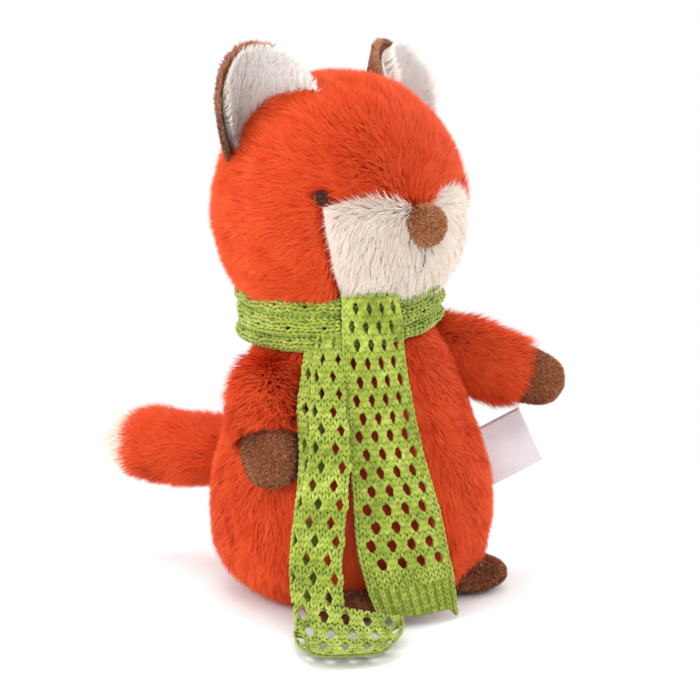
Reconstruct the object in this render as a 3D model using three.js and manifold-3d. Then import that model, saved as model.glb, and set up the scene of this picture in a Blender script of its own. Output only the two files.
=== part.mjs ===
import * as THREE from 'three';
import { mergeVertices } from 'three/addons/utils/BufferGeometryUtils.js';
import Module from 'manifold-3d';

// Sitting plush fox with a knitted lace scarf.
// Millimetres, +Z up. The fox faces -Y, its right side is -X, and the origin
// is the middle of the flat base that it sits on.
// An azimuth is in degrees round +Z, from the front (-Y) towards the fox's right (-X).

const wasm = await Module();
wasm.setup();

// Cloth and clearances
const gap = 0.3;            // left between two pieces that touch
const weld = 0.0003;        // vertices nearer than this are one
const plush = 2.4;          // backing of the long-pile cloth
const shortPile = 1.6;      // backing of the brown and felted cloth
const standDepth = 0.5;     // how deep the forms are cut flat where they stand

// Body
const body = { height: 128, radius: 55 };
const basePanel = { radius: 27 };
const pouch = { height: 22 };

// Head
const head = {
  radius: 50,
  depth: 47.5,
  halfHeight: 52,
  setBack: 7,
  neckSink: 25,
  neckHole: 15,
  muzzleRise: 4.5,
  muzzleWidth: 28,
  muzzleHeight: 21,
  muzzleDrop: 13,
};
const eye = { radius: 3.1, rise: 0.9, azimuth: 47, lift: 11 };
const nose = { radius: 7.8, proud: 1.4, lift: -2 };
const mouth = { width: 0.9, rise: 0.7, top: 10, length: 13 };
const ear = {
  halfWidth: 19,
  halfHeight: 26,
  spread: 0.15,       // how much wider the ear is towards its tip
  cup: 19,
  cupTaper: 0.5,      // how much shallower the cup is at the tip, and deeper at the foot
  backThickness: 3.5,
  liningThickness: 2.2,
  liningShare: 0.86,
  liningCup: 1.06,
  liningShift: 1.2,
  seam: 0.6,
  turn: 20,
  lean: 4,
  pitch: 13,
  sideways: 30.6,
  behind: 16,
  above: 39.2,
  leftDrop: 3,
};

// Limbs: where the root is sewn on, where the limb points, its own size, and how far its axis
// starts inside the body
const armRight = {
  length: 54, radius: 13.2, heightShare: 0.755, azimuth: 98, heading: 34, drop: 50, wristShare: 0.66,
  rootDepth: -2, swing: [0, 30],
};
const armLeft = {
  length: 67, radius: 13.2, heightShare: 0.775, azimuth: -80, heading: -56, drop: 19, wristShare: 0.735,
  rootDepth: 8, swing: [-10, 30],
};
const tail = {
  length: 67, radius: 13, heightShare: 0.36, azimuth: 168, heading: 153, drop: 0, wristShare: 0.8,
  rootDepth: 2, swing: [-20, 20],
};

// Feet
const foot = {
  length: 42, width: 35, thickness: 14, heightShare: 0.235, azimuth: 45, heading: 50, tipReach: 8.7,
  liftRange: 15,
};

// Scarf
const scarf = { cloth: 1.8, width: 38, bow: 0.9 };
const wrap = {
  radius: 36, setBack: 6, halfThickness: 7.5, halfHeight: 10.5, heightSpread: 2.5,
  belowNeck: 11.5, tilt: 5.5,
};
const fall = { width: 20, pleat: 5, azimuth: 51 };
const floorEnd = {
  azimuth: 40.5, length: 41, shift: 0.5, near: 72, narrow: 7, belly: 31, turnShare: 0.9,
  height: 13.3, slope: 6, rimPower: 2, lip: 2, lipPower: 6, clear: 1.08,
};
const frontEyelets = { columns: 9, rows: 28, hemRows: 4 };
const fallEyelets = { columns: 8, rows: 20 };
const endEyelets = { columns: 10, rows: 5 };

// Sewn label
const label = {
  height: 24, length: 40, ply: 0.5, loop: 1.2, azimuth: -82, heading: -61, tilt: 25, heightShare: 0.21,
  rootDepth: 2,
};

// Facets
const roundSides = 26;
const limbSides = 14;
const bodySteps = 10;
const headSteps = 12;
const limbSteps = 9;
const swingSteps = 4;
const arcSteps = 4;
const shareStep = 1 / 512;

const colours = {
  orange: 0xe4481f,
  cream: 0xede3d6,
  brown: 0x80503a,
  nose: 0x9a6446,
  eye: 0x3a1c12,
  green: 0x9fbb3c,
  label: 0xd9d3da,
  filling: 0xf4f4f0,
  pellets: 0xd8d4c8,
};

const up = new THREE.Vector3(0, 0, 1);
armRight.hinge = new THREE.Vector3(0, 1, 0);
tail.hinge = up;

// The shares of height and radius that the body's outline passes through
const bodyShares = [
  [0, 0.62], [0.05, 0.82], [0.12, 0.945], [0.235, 1], [0.35, 0.985], [0.47, 0.925],
  [0.59, 0.835], [0.7, 0.745], [0.77, 0.665], [0.83, 0.57], [0.9, 0.465], [0.96, 0.4], [1, 0.3],
];
// The shares of length and radius that a limb's outline passes through
const armShares = [
  [0, 0], [0.01, 0.46], [0.1, 0.8], [0.28, 1.03], [0.48, 1.03], [0.66, 0.95], [0.84, 0.84],
  [0.95, 0.6], [1, 0],
];
const tailShares = [
  [0, 0], [0.01, 0.3], [0.12, 0.7], [0.32, 0.96], [0.55, 1], [0.75, 0.98], [0.9, 0.78],
  [0.975, 0.42], [1, 0],
];
// Half of the cream mask, as shares of the head's radius and half height about its centre
const maskTopShares = [[0, 0.03], [0.14, 0.12], [0.33, 0.195], [0.52, 0.2], [0.7, 0.13]];
const maskSideShares = [
  [0.7, 0.13], [0.68, -0.12], [0.62, -0.38], [0.5, -0.62], [0.3, -0.82], [0, -0.9],
];
// An ear's sheet from its middle round the rim and back, as shares of its reach and half thickness
const earShares = [
  [0, -1], [0.4, -1], [0.75, -1], [0.93, -0.8], [1, 0], [0.93, 0.8], [0.75, 1], [0.4, 1], [0, 1],
];
// The hanging cloth: share of the body's height, azimuth, and share of its radius from the axis
const frontPathShares = [
  [0.99, 28.5, 0.695], [0.95, 28, 0.715], [0.9, 27.3, 0.717], [0.84, 27, 0.73], [0.77, 26.6, 0.77],
  [0.69, 26.1, 0.84], [0.545, 24.9, 0.95], [0.345, 21.2, 1.045], [0.225, 19.5, 1.1], [0.035, 13.8, 1.12],
];
const fallPathShares = [
  [0.83, 55, 0.735], [0.78, 54.5, 0.79], [0.72, 53, 0.87], [0.655, 52, 0.97], [0.547, 50, 1.08],
  [0.43, 50.3, 1.14], [0.31, 51, 1.19], [0.195, 51.3, 1.235], [0.115, 50, 1.28],
];
// The front panel's width down its length, as shares of the scarf's width
const frontWidthShares = [0.62, 0.62, 0.66, 0.74, 0.86, 0.96, 0.99, 0.93];
const fallWidthShares = [0.66, 0.8, 0.95, 1, 1, 1, 1];
// The side panel's fold in plan: shares of its width and of its pleat
const foldShares = [
  [0.5, 0], [0.2, 0.12], [-0.2, 0], [-0.44, 0.08], [-0.5, -0.5], [-0.4, -1], [-0.1, -1], [0.1, -0.9],
];
// One side of the two rolled layers of the wrap, as shares of its half thickness and half height
const wrapShares = [
  [0.1, -1], [0.75, -0.86], [1, -0.55], [0.86, -0.2], [0.72, 0], [0.88, 0.22], [1, 0.55],
  [0.72, 0.88], [0, 1], [-1, 0.8], [-1.7, 0.3], [-1.7, -0.4], [-0.9, -0.9],
];

function radians(degrees) {
  return THREE.MathUtils.degToRad(degrees);
}

// Closed solids from geometries, and back

function solidOf(geometry) {
  const plain = geometry.index ? geometry : geometry.clone();
  plain.deleteAttribute('normal');
  plain.deleteAttribute('uv');
  const merged = mergeVertices(plain, weld);
  const index = merged.index.array;
  const kept = [];
  for (let i = 0; i < index.length; i += 3) {
    const [a, b, c] = [index[i], index[i + 1], index[i + 2]];
    if (a !== b && b !== c && c !== a) kept.push(a, b, c);
  }
  const places = merged.attributes.position.array;
  const triangles = signedVolume(places, kept) < 0 ? flipped(kept) : kept;
  return new wasm.Manifold(new wasm.Mesh({
    numProp: 3,
    vertProperties: new Float32Array(places),
    triVerts: new Uint32Array(triangles),
  }));
}

function signedVolume(places, index) {
  const [a, b, c] = [new THREE.Vector3(), new THREE.Vector3(), new THREE.Vector3()];
  let total = 0;
  for (let i = 0; i < index.length; i += 3) {
    a.fromArray(places, index[i] * 3);
    b.fromArray(places, index[i + 1] * 3);
    c.fromArray(places, index[i + 2] * 3);
    total += a.dot(b.cross(c));
  }
  return total;
}

function flipped(index) {
  const turned = [];
  for (let i = 0; i < index.length; i += 3) turned.push(index[i], index[i + 2], index[i + 1]);
  return turned;
}

function geometryOf(solid) {
  const mesh = solid.getMesh();
  const geometry = new THREE.BufferGeometry();
  const places = new Float32Array(mesh.numVert * 3);
  for (let i = 0; i < mesh.numVert; i += 1) {
    for (let k = 0; k < 3; k += 1) places[i * 3 + k] = mesh.vertProperties[i * mesh.numProp + k];
  }
  geometry.setAttribute('position', new THREE.BufferAttribute(places, 3));
  geometry.setIndex(new THREE.BufferAttribute(new Uint32Array(mesh.triVerts), 1));
  geometry.computeVertexNormals();
  return geometry;
}

// Moves every vertex of a geometry by a function of its place
function warped(geometry, move) {
  const places = geometry.attributes.position;
  const point = new THREE.Vector3();
  for (let i = 0; i < places.count; i += 1) {
    point.fromBufferAttribute(places, i);
    move(point);
    places.setXYZ(i, point.x, point.y, point.z);
  }
  return geometry;
}

// A solid that is round about its own axis, which lies along `direction` from `origin`
function turned(profile, sides, origin, direction) {
  const geometry = new THREE.LatheGeometry(profile, sides);
  const turn = new THREE.Quaternion().setFromUnitVectors(new THREE.Vector3(0, 1, 0), direction);
  geometry.applyQuaternion(turn);
  return geometry.translate(origin.x, origin.y, origin.z);
}

// An outline through shares of a radius and a length, moved outwards by `grow`
function outline(shares, length, radius, steps, grow) {
  const knots = shares.map(([along, out]) => new THREE.Vector2(out * radius, along * length));
  const curve = new THREE.SplineCurve(knots);
  const points = [];
  for (let i = 0; i <= steps; i += 1) {
    const point = curve.getPoint(i / steps);
    const tangent = curve.getTangent(i / steps);
    const out = new THREE.Vector2(tangent.y, -tangent.x).multiplyScalar(grow);
    points.push(new THREE.Vector2(Math.max(0, point.x + out.x), point.y + out.y));
  }
  return points;
}

function box(centre, size, turn = new THREE.Quaternion()) {
  const geometry = new THREE.BoxGeometry(size.x, size.y, size.z);
  geometry.applyQuaternion(turn);
  return solidOf(geometry.translate(centre.x, centre.y, centre.z));
}

function cylinder(centre, direction, radius, length) {
  const geometry = new THREE.CylinderGeometry(radius, radius, length, limbSides);
  const turn = new THREE.Quaternion().setFromUnitVectors(new THREE.Vector3(0, 1, 0), direction);
  geometry.applyQuaternion(turn);
  return solidOf(geometry.translate(centre.x, centre.y, centre.z));
}

const reach = (body.height + body.radius) * 2;
const belowFloor = box(new THREE.Vector3(0, 0, -reach / 2), new THREE.Vector3(reach, reach, reach));

// Places on the body and the head

function radial(azimuth) {
  return new THREE.Vector3(-Math.sin(radians(azimuth)), -Math.cos(radians(azimuth)), 0);
}

function bodyRadiusAt(heightShare) {
  const knots = bodyShares.map(([along, out]) => new THREE.Vector2(along, out));
  const after = knots.findIndex((knot) => knot.x >= heightShare);
  const high = knots[Math.max(after, 1)];
  const low = knots[Math.max(after, 1) - 1];
  const part = (heightShare - low.x) / (high.x - low.x);
  return body.radius * (low.y + (high.y - low.y) * part);
}

function onBody(heightShare, azimuth, out) {
  return radial(azimuth)
    .multiplyScalar(bodyRadiusAt(heightShare) + out)
    .setZ(heightShare * body.height);
}

const headCentre = new THREE.Vector3(0, head.setBack, body.height - head.neckSink + head.halfHeight);

// Swells the lower front of the head into the muzzle; `point` is taken from the head's centre
function swellMuzzle(point) {
  if (point.y >= 0) return;
  const across = point.x / head.muzzleWidth;
  const along = (point.z + head.muzzleDrop) / head.muzzleHeight;
  point.y -= head.muzzleRise * Math.exp(-across * across - along * along);
}

function onHead(azimuth, lift, out) {
  const level = Math.cos(radians(lift));
  const point = radial(azimuth);
  point.x *= (head.radius + out) * level;
  point.y *= (head.depth + out) * level;
  point.z = (head.halfHeight + out) * Math.sin(radians(lift));
  swellMuzzle(point);
  return point.add(headCentre);
}

// Forms that others are cut by. Each takes the distance that it is grown by.

function bodyForm(grow) {
  const curve = outline(bodyShares, body.height, body.radius, bodySteps, grow);
  const profile = [new THREE.Vector2(0, curve[0].y), ...curve, new THREE.Vector2(0, curve.at(-1).y)];
  return solidOf(turned(profile, roundSides, new THREE.Vector3(0, 0, -standDepth), up));
}

function headForm(grow) {
  const radius = head.radius + grow;
  const curve = new THREE.EllipseCurve(0, 0, radius, head.halfHeight + grow, -Math.PI / 2, Math.PI / 2);
  const profile = curve.getPoints(headSteps).map((point) => point.setX(Math.max(0, point.x)));
  profile[0].setX(0);
  profile.at(-1).setX(0);
  const geometry = turned(profile, roundSides, new THREE.Vector3(), up);
  warped(geometry, (point) => {
    point.y *= (head.depth + grow) / radius;
    swellMuzzle(point);
    point.add(headCentre);
  });
  return solidOf(geometry);
}

function wrapForm(grow) {
  const knots = wrapShares.map(([out, along]) => new THREE.Vector2(
    wrap.radius + out * (wrap.halfThickness + grow),
    along * (wrap.halfHeight + grow),
  ));
  const geometry = turned([...knots, knots[0].clone()], roundSides, new THREE.Vector3(), up);
  warped(geometry, (point) => {
    const side = -point.x / Math.hypot(point.x, point.y);
    point.z *= (wrap.halfHeight + wrap.heightSpread * side) / wrap.halfHeight;
    point.z += body.height - wrap.belowNeck - wrap.tilt * side;
    point.y += wrap.setBack;
  });
  return solidOf(geometry);
}

// A sewn and filled piece: its skin, and the filling inside
function sewn(layerAt, thickness) {
  return {
    skin: layerAt(0).subtract(layerAt(thickness)),
    filling: layerAt(thickness + gap),
  };
}

const parts = [];
function add(name, solid, colour, roughness = 0.95) {
  const material = new THREE.MeshStandardMaterial({ color: colour, roughness, metalness: 0 });
  const mesh = new THREE.Mesh(geometryOf(solid), material);
  mesh.name = name;
  parts.push(mesh);
}

// Body

function bodyLayer(depth) {
  const floor = belowFloor.translate([0, 0, depth]);
  return bodyForm(-depth).subtract(headForm(gap + depth)).subtract(floor);
}

function addBody() {
  const { skin, filling } = sewn(bodyLayer, plush);
  const opening = (radius) => cylinder(new THREE.Vector3(), up, radius, 2 * pouch.height);
  const neck = cylinder(new THREE.Vector3(0, head.setBack, body.height - head.neckSink), up,
    head.neckHole, body.radius);
  add('body_skin', skin.subtract(opening(basePanel.radius + gap)).subtract(neck), colours.orange);
  add('base_panel', skin.intersect(opening(basePanel.radius)), colours.orange);
  const split = (height) => box(
    new THREE.Vector3(0, 0, height - reach / 2),
    new THREE.Vector3(reach, reach, reach),
  );
  add('pellet_pouch', filling.intersect(split(pouch.height)), colours.pellets);
  add('body_stuffing', filling.subtract(split(pouch.height + gap)), colours.filling);
}

// Head

function maskShape(side, grow) {
  const place = ([out, along]) => new THREE.Vector2(
    side * (out * head.radius + (out > 0 ? grow : 0)),
    along * head.halfHeight + (along > 0 ? grow : 0),
  );
  const shape = new THREE.Shape();
  const top = maskTopShares.map(place);
  const down = maskSideShares.map(place);
  shape.moveTo(top[0].x, top[0].y);
  shape.splineThru(top.slice(1));
  shape.splineThru(down.slice(1));
  shape.closePath();
  return shape;
}

// The mask's outline carried forwards through the front of the head
function maskBlock(side, grow) {
  const geometry = new THREE.ExtrudeGeometry(maskShape(side, grow), {
    depth: head.depth * 2, bevelEnabled: false, curveSegments: arcSteps,
  });
  geometry.rotateX(Math.PI / 2);
  return solidOf(geometry.translate(headCentre.x, headCentre.y, headCentre.z));
}

function addHead() {
  const { skin, filling } = sewn((depth) => headForm(-depth), plush);
  const neck = cylinder(headCentre.clone().setZ(headCentre.z - head.halfHeight), up,
    head.neckHole, head.halfHeight);
  const masks = maskBlock(1, gap).add(maskBlock(-1, gap));
  add('head_skin', skin.subtract(neck).subtract(masks), colours.orange);
  add('head_stuffing', filling, colours.filling);
  const seam = box(headCentre, new THREE.Vector3(gap, reach, reach));
  add('muzzle_right', skin.subtract(neck).intersect(maskBlock(-1, 0)).subtract(seam), colours.cream);
  add('muzzle_left', skin.subtract(neck).intersect(maskBlock(1, 0)).subtract(seam), colours.cream);
}

function addFace() {
  const noseCentre = onHead(0, nose.lift, nose.proud);
  const ball = new THREE.SphereGeometry(nose.radius, limbSides, limbSteps);
  const noseSolid = solidOf(ball.translate(noseCentre.x, noseCentre.y, noseCentre.z));
  add('nose', noseSolid.subtract(headForm(gap)), colours.nose);

  const ridge = headForm(gap + mouth.rise).subtract(headForm(gap));
  const stitch = box(
    new THREE.Vector3(0, noseCentre.y, headCentre.z - mouth.top - mouth.length / 2),
    new THREE.Vector3(mouth.width, head.depth, mouth.length),
  );
  const clearOfNose = noseSolid.add(cylinder(noseCentre, new THREE.Vector3(0, 1, 0),
    nose.radius + gap, head.depth));
  add('mouth_stitch', ridge.intersect(stitch).subtract(clearOfNose), colours.eye);

  const pad = headForm(gap + eye.rise).subtract(headForm(gap));
  for (const [name, side] of [['eye_right', 1], ['eye_left', -1]]) {
    const place = onHead(side * eye.azimuth, eye.lift, 0);
    const outwards = place.clone().sub(headCentre).normalize();
    const round = cylinder(place, outwards, eye.radius, head.muzzleRise);
    add(name, pad.intersect(round), colours.eye, 0.7);
  }
}

// Ears: a brown back and a cream lining, both cupped towards the front

function earSheet(side, from, to, share = 1, shift = 0, cup = ear.cup) {
  const middle = (from + to) / 2;
  const half = (to - from) / 2;
  const profile = earShares.map(([out, along]) => new THREE.Vector2(out, along));
  const geometry = new THREE.LatheGeometry(profile, limbSides);
  warped(geometry, (point) => {
    const [across, through, along] = [point.x * share, point.y, point.z * share];
    point.x = across * (1 + ear.spread * along) * ear.halfWidth - side * shift;
    const spread = point.x / ear.halfWidth;
    point.y = -(middle + through * half + cup * (1 - ear.cupTaper * along) * spread * spread);
    point.z = along * ear.halfHeight;
  });
  geometry.rotateX(radians(ear.pitch));
  geometry.rotateY(radians(-side * ear.lean));
  geometry.rotateZ(radians(-side * ear.turn));
  geometry.translate(
    headCentre.x - side * ear.sideways,
    headCentre.y + ear.behind,
    headCentre.z + ear.above - (side < 0 ? ear.leftDrop : 0),
  );
  return solidOf(geometry).subtract(headForm(gap));
}

function addEars() {
  for (const [name, side] of [['ear_right', 1], ['ear_left', -1]]) {
    const back = earSheet(side, -ear.backThickness, 0);
    const [from, to] = [ear.seam, ear.seam + ear.liningThickness];
    const lining = earSheet(side, from, to, ear.liningShare, ear.liningShift, ear.cup * ear.liningCup);
    add(`${name}_back`, back, colours.brown);
    add(`${name}_lining`, lining, colours.cream);
  }
}

// Arms and tail: a sleeve, an end of another cloth, and one filling

function limbAxis(limb) {
  const level = radial(limb.heading).multiplyScalar(Math.cos(radians(limb.drop)));
  return level.setZ(-Math.sin(radians(limb.drop))).normalize();
}

function limbRoot(limb) {
  return onBody(limb.heightShare, limb.azimuth, -limb.rootDepth);
}

function limbForm(limb, shares, grow) {
  const profile = outline(shares, limb.length, limb.radius, limbSteps, grow);
  profile[0] = new THREE.Vector2(0, -grow);
  profile[profile.length - 1] = new THREE.Vector2(0, limb.length + grow);
  return solidOf(turned(profile, limbSides, limbRoot(limb), limbAxis(limb)));
}

// A form turned about a limb's seam to each step of its swing, so that the limb clears it all the way
function sweptPast(form, limb, hinge) {
  const pivot = onBody(limb.heightShare, limb.azimuth, 0);
  const [from, to] = limb.swing;
  let swept = form;
  for (let step = 0; step <= swingSteps; step += 1) {
    const angle = radians(from + (to - from) * (step / swingSteps));
    const turn = new THREE.Matrix4().makeRotationAxis(hinge, -angle);
    const there = new THREE.Matrix4().makeTranslation(pivot);
    const move = there.clone().multiply(turn).multiply(there.clone().invert());
    swept = swept.add(form.transform(move.toArray()));
  }
  return swept;
}

// Arms lift about a level hinge square to their heading, and the tail swings about an upright one
function hingeOf(limb) {
  return limb.hinge ?? radial(limb.heading).cross(up).normalize();
}

function addLimb(names, limb, shares, thickness, clothColours) {
  const hinge = hingeOf(limb);
  const layer = (depth) => limbForm(limb, shares, -depth)
    .subtract(sweptPast(bodyForm(gap + depth), limb, hinge))
    .subtract(sweptPast(wrapForm(gap + depth), limb, hinge));
  const { skin, filling } = sewn(layer, thickness);
  const axis = limbAxis(limb);
  const turn = new THREE.Quaternion().setFromUnitVectors(up, axis);
  const wrist = limbRoot(limb).addScaledVector(axis, limb.length * limb.wristShare);
  const beyond = (start) => box(
    wrist.clone().addScaledVector(axis, start + reach / 2),
    new THREE.Vector3(reach, reach, reach),
    turn,
  );
  add(names.sleeve, skin.subtract(beyond(0)), clothColours.sleeve);
  add(names.end, skin.intersect(beyond(gap)), clothColours.end);
  add(names.filling, filling, colours.filling);
}

// Feet: two panels sewn along the edge, round a filling

function footPivot(side) {
  return onBody(foot.thickness / body.height, side * foot.azimuth, gap);
}

function footForm(side, grow) {
  const steps = limbSteps;
  const profile = new THREE.EllipseCurve(
    0, 0, foot.width / 2 + grow, foot.thickness / 2 + standDepth / 2 + grow, -Math.PI / 2, Math.PI / 2,
  ).getPoints(steps);
  profile[0].setX(0);
  profile[steps].setX(0);
  const geometry = new THREE.LatheGeometry(profile, limbSides);
  geometry.rotateX(Math.PI / 2);
  geometry.scale(1, (foot.length / 2 + grow) / (foot.width / 2 + grow), 1);
  geometry.rotateZ(radians(-side * foot.heading));
  const tip = onBody(foot.heightShare, side * foot.azimuth, foot.tipReach);
  const centre = tip.addScaledVector(radial(side * foot.heading), -foot.length / 2);
  geometry.translate(centre.x, centre.y, foot.thickness / 2 - standDepth / 2);
  return solidOf(geometry);
}

// What lies below the floor once the foot is lifted to its limit
function liftedFloor(side, depth) {
  const pivot = footPivot(side);
  const axis = radial(side * foot.azimuth).cross(up);
  const turn = new THREE.Quaternion().setFromAxisAngle(axis, radians(-foot.liftRange));
  const centre = new THREE.Vector3(0, 0, depth - reach / 2).sub(pivot).applyQuaternion(turn).add(pivot);
  return box(centre, new THREE.Vector3(reach, reach, reach), turn);
}

function addFoot(name, side) {
  const layer = (depth) => footForm(side, -depth)
    .subtract(bodyForm(gap + depth))
    .subtract(belowFloor.translate([0, 0, depth]))
    .subtract(liftedFloor(side, gap + depth));
  const { skin, filling } = sewn(layer, shortPile);
  const above = (height) => box(
    new THREE.Vector3(0, 0, height + reach / 2),
    new THREE.Vector3(reach, reach, reach),
  );
  add(`${name}_upper`, skin.intersect(above(foot.thickness / 2 + gap)), colours.brown);
  add(`${name}_sole`, skin.subtract(above(foot.thickness / 2)), colours.brown);
  add(`${name}_stuffing`, filling, colours.filling);
}

// Knitted cloth as a closed sheet on a grid, with a cell left out for each eyelet

function clothSolid(columns, rows, placeAt, thickness, isEyelet) {
  const front = [];
  const back = [];
  for (let row = 0; row <= rows; row += 1) {
    for (let column = 0; column <= columns; column += 1) {
      const [u, v] = [column / columns, row / rows];
      const point = placeAt(u, v);
      const alongU = placeAt(u + shareStep, v).sub(placeAt(u - shareStep, v));
      const alongV = placeAt(u, v + shareStep).sub(placeAt(u, v - shareStep));
      const normal = alongU.cross(alongV).normalize();
      front.push(point.clone().addScaledVector(normal, thickness / 2));
      back.push(point.clone().addScaledVector(normal, -thickness / 2));
    }
  }
  const at = (column, row) => row * (columns + 1) + column;
  const behind = front.length;
  const index = [];
  const quad = (a, b, c, d) => index.push(a, b, c, a, c, d);
  const solidCell = (column, row) => column >= 0 && row >= 0 && column < columns && row < rows
    && !isEyelet(column, row);
  for (let row = 0; row < rows; row += 1) {
    for (let column = 0; column < columns; column += 1) {
      if (!solidCell(column, row)) continue;
      const corners = [at(column, row), at(column + 1, row), at(column + 1, row + 1), at(column, row + 1)];
      const [a, b, c, d] = corners;
      quad(a, b, c, d);
      quad(d + behind, c + behind, b + behind, a + behind);
      const sides = [[a, b, 0, -1], [b, c, 1, 0], [c, d, 0, 1], [d, a, -1, 0]];
      for (const [from, to, across, along] of sides) {
        if (!solidCell(column + across, row + along)) quad(from + behind, to + behind, to, from);
      }
    }
  }
  const geometry = new THREE.BufferGeometry();
  geometry.setAttribute('position', new THREE.Float32BufferAttribute(
    [...front, ...back].flatMap((point) => point.toArray()),
    3,
  ));
  geometry.setIndex(index);
  return solidOf(geometry);
}

// Eyelets in every second column, moved over by one in every other eyelet row
function eyeletPattern(columns, firstRow, lastRow) {
  return (column, row) => {
    if (row < firstRow || row >= lastRow || row % 2 === 0) return false;
    if (column === 0 || column === columns - 1) return false;
    return column % 2 === (row % 4 === 1 ? 0 : 1);
  };
}

// A path down the front of the body through shares of its height, azimuths and shares of its radius
function hangingPath(shares) {
  return new THREE.CatmullRomCurve3(shares.map(([rise, azimuth, out]) => radial(azimuth)
    .multiplyScalar(out * body.radius)
    .setZ(rise * body.height)));
}

// How far a share lies before 0 or after 1
function pastEnds(share) {
  return Math.min(0, share) + Math.max(0, share - 1);
}

// A smooth run through shares, even steps apart
function sharesAlong(shares) {
  return new THREE.SplineCurve(shares.map((share, place) => new THREE.Vector2(place, share)));
}

function addFrontPanel() {
  const path = hangingPath(frontPathShares);
  const widths = sharesAlong(frontWidthShares);
  const azimuthAt = (v) => frontPathShares[0][1]
    + (frontPathShares.at(-1)[1] - frontPathShares[0][1]) * v;
  const placeAt = (u, v) => {
    const point = path.getPointAt(THREE.MathUtils.clamp(v, 0, 1));
    const out = radial(azimuthAt(v));
    const across = new THREE.Vector3(-out.y, out.x, 0);
    const bow = scarf.bow * Math.cos(2 * Math.PI * u);
    const width = scarf.width * widths.getPoint(THREE.MathUtils.clamp(v, 0, 1)).y;
    return point.addScaledVector(across, (u - 1 / 2) * width)
      .addScaledVector(out, -bow)
      .addScaledVector(up, -pastEnds(v) * body.height);
  };
  const { columns, rows, hemRows } = frontEyelets;
  const eyelets = eyeletPattern(columns, 1, rows - hemRows);
  const sheet = clothSolid(columns, rows, placeAt, scarf.cloth, eyelets);
  add('scarf_front_panel', sheet.subtract(wrapForm(gap)).subtract(bodyForm(gap)), colours.green);
}

// The side panel is folded lengthwise, with the pleat at the fox's right
function addSideFall() {
  const path = hangingPath(fallPathShares);
  const widths = sharesAlong(fallWidthShares);
  const out = radial(fall.azimuth);
  const across = new THREE.Vector3(-out.y, out.x, 0);
  const fold = new THREE.CatmullRomCurve3(foldShares.map(([side, deep]) => new THREE.Vector3(
    side * fall.width,
    deep * fall.pleat,
    0,
  )));
  const placeAt = (u, v) => {
    const point = path.getPointAt(THREE.MathUtils.clamp(v, 0, 1));
    const place = fold.getPoint(THREE.MathUtils.clamp(u, 0, 1));
    place.x *= widths.getPoint(THREE.MathUtils.clamp(v, 0, 1)).y;
    const beyond = fold.getTangent(THREE.MathUtils.clamp(u, 0, 1));
    place.addScaledVector(beyond, pastEnds(u) * scarf.width);
    return point.addScaledVector(across, place.x)
      .addScaledVector(out, place.y)
      .addScaledVector(up, -pastEnds(v) * body.height);
  };
  const { columns, rows } = fallEyelets;
  const eyelets = eyeletPattern(columns, 1, rows);
  const sheet = clothSolid(columns, rows, placeAt, scarf.cloth, eyelets);
  const besideArm = sheet.subtract(wrapForm(gap)).subtract(bodyForm(gap))
    .subtract(limbForm(armRight, armShares, gap));
  add('scarf_side_fall', besideArm, colours.green);
}

// The last of the side panel lies on the floor like a shallow scoop, its upper rim below the fold
function addFloorEnd() {
  const out = radial(floorEnd.azimuth);
  const across = new THREE.Vector3(-out.y, out.x, 0);
  const placeAt = (u, v) => {
    const span = THREE.MathUtils.clamp(v, 0, 1);
    const forward = floorEnd.narrow + floorEnd.belly * Math.sin(Math.PI * u * floorEnd.turnShare);
    const rim = (floorEnd.height - floorEnd.slope * u) * (1 - span) ** floorEnd.rimPower;
    const lift = scarf.cloth / 2 + floorEnd.clear + floorEnd.lip * span ** floorEnd.lipPower + rim;
    return out.clone().multiplyScalar(floorEnd.near + forward * v)
      .addScaledVector(across, (u - floorEnd.shift) * floorEnd.length)
      .setZ(lift);
  };
  const { columns, rows } = endEyelets;
  const eyelets = eyeletPattern(columns, 1, rows - 1);
  add('scarf_side_end', clothSolid(columns, rows, placeAt, scarf.cloth, eyelets), colours.green);
}

// Label: a folded loop of thin cloth, its ends in the body's side seam

function addLabel() {
  const outer = label.loop / 2 + label.ply;
  const inner = label.loop / 2;
  const shape = new THREE.Shape();
  shape.moveTo(0, outer);
  shape.lineTo(label.length - outer, outer);
  shape.absarc(label.length - outer, 0, outer, Math.PI / 2, -Math.PI / 2, true);
  shape.lineTo(0, -outer);
  shape.lineTo(0, -inner);
  shape.lineTo(label.length - outer, -inner);
  shape.absarc(label.length - outer, 0, inner, -Math.PI / 2, Math.PI / 2, false);
  shape.lineTo(0, inner);
  shape.closePath();
  const geometry = new THREE.ExtrudeGeometry(shape, {
    depth: label.height, bevelEnabled: false, curveSegments: arcSteps,
  });
  const tilt = radians(label.tilt);
  const level = radial(label.heading);
  const along = level.clone().multiplyScalar(Math.cos(tilt)).setZ(Math.sin(tilt));
  const rise = level.clone().multiplyScalar(-Math.sin(tilt)).setZ(Math.cos(tilt));
  const root = onBody(label.heightShare, label.azimuth, -label.rootDepth);
  const frame = new THREE.Matrix4().makeBasis(along, rise.clone().cross(along), rise).setPosition(root);
  add('side_label', solidOf(geometry.applyMatrix4(frame)).subtract(bodyForm(gap)), colours.label);
}

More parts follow.
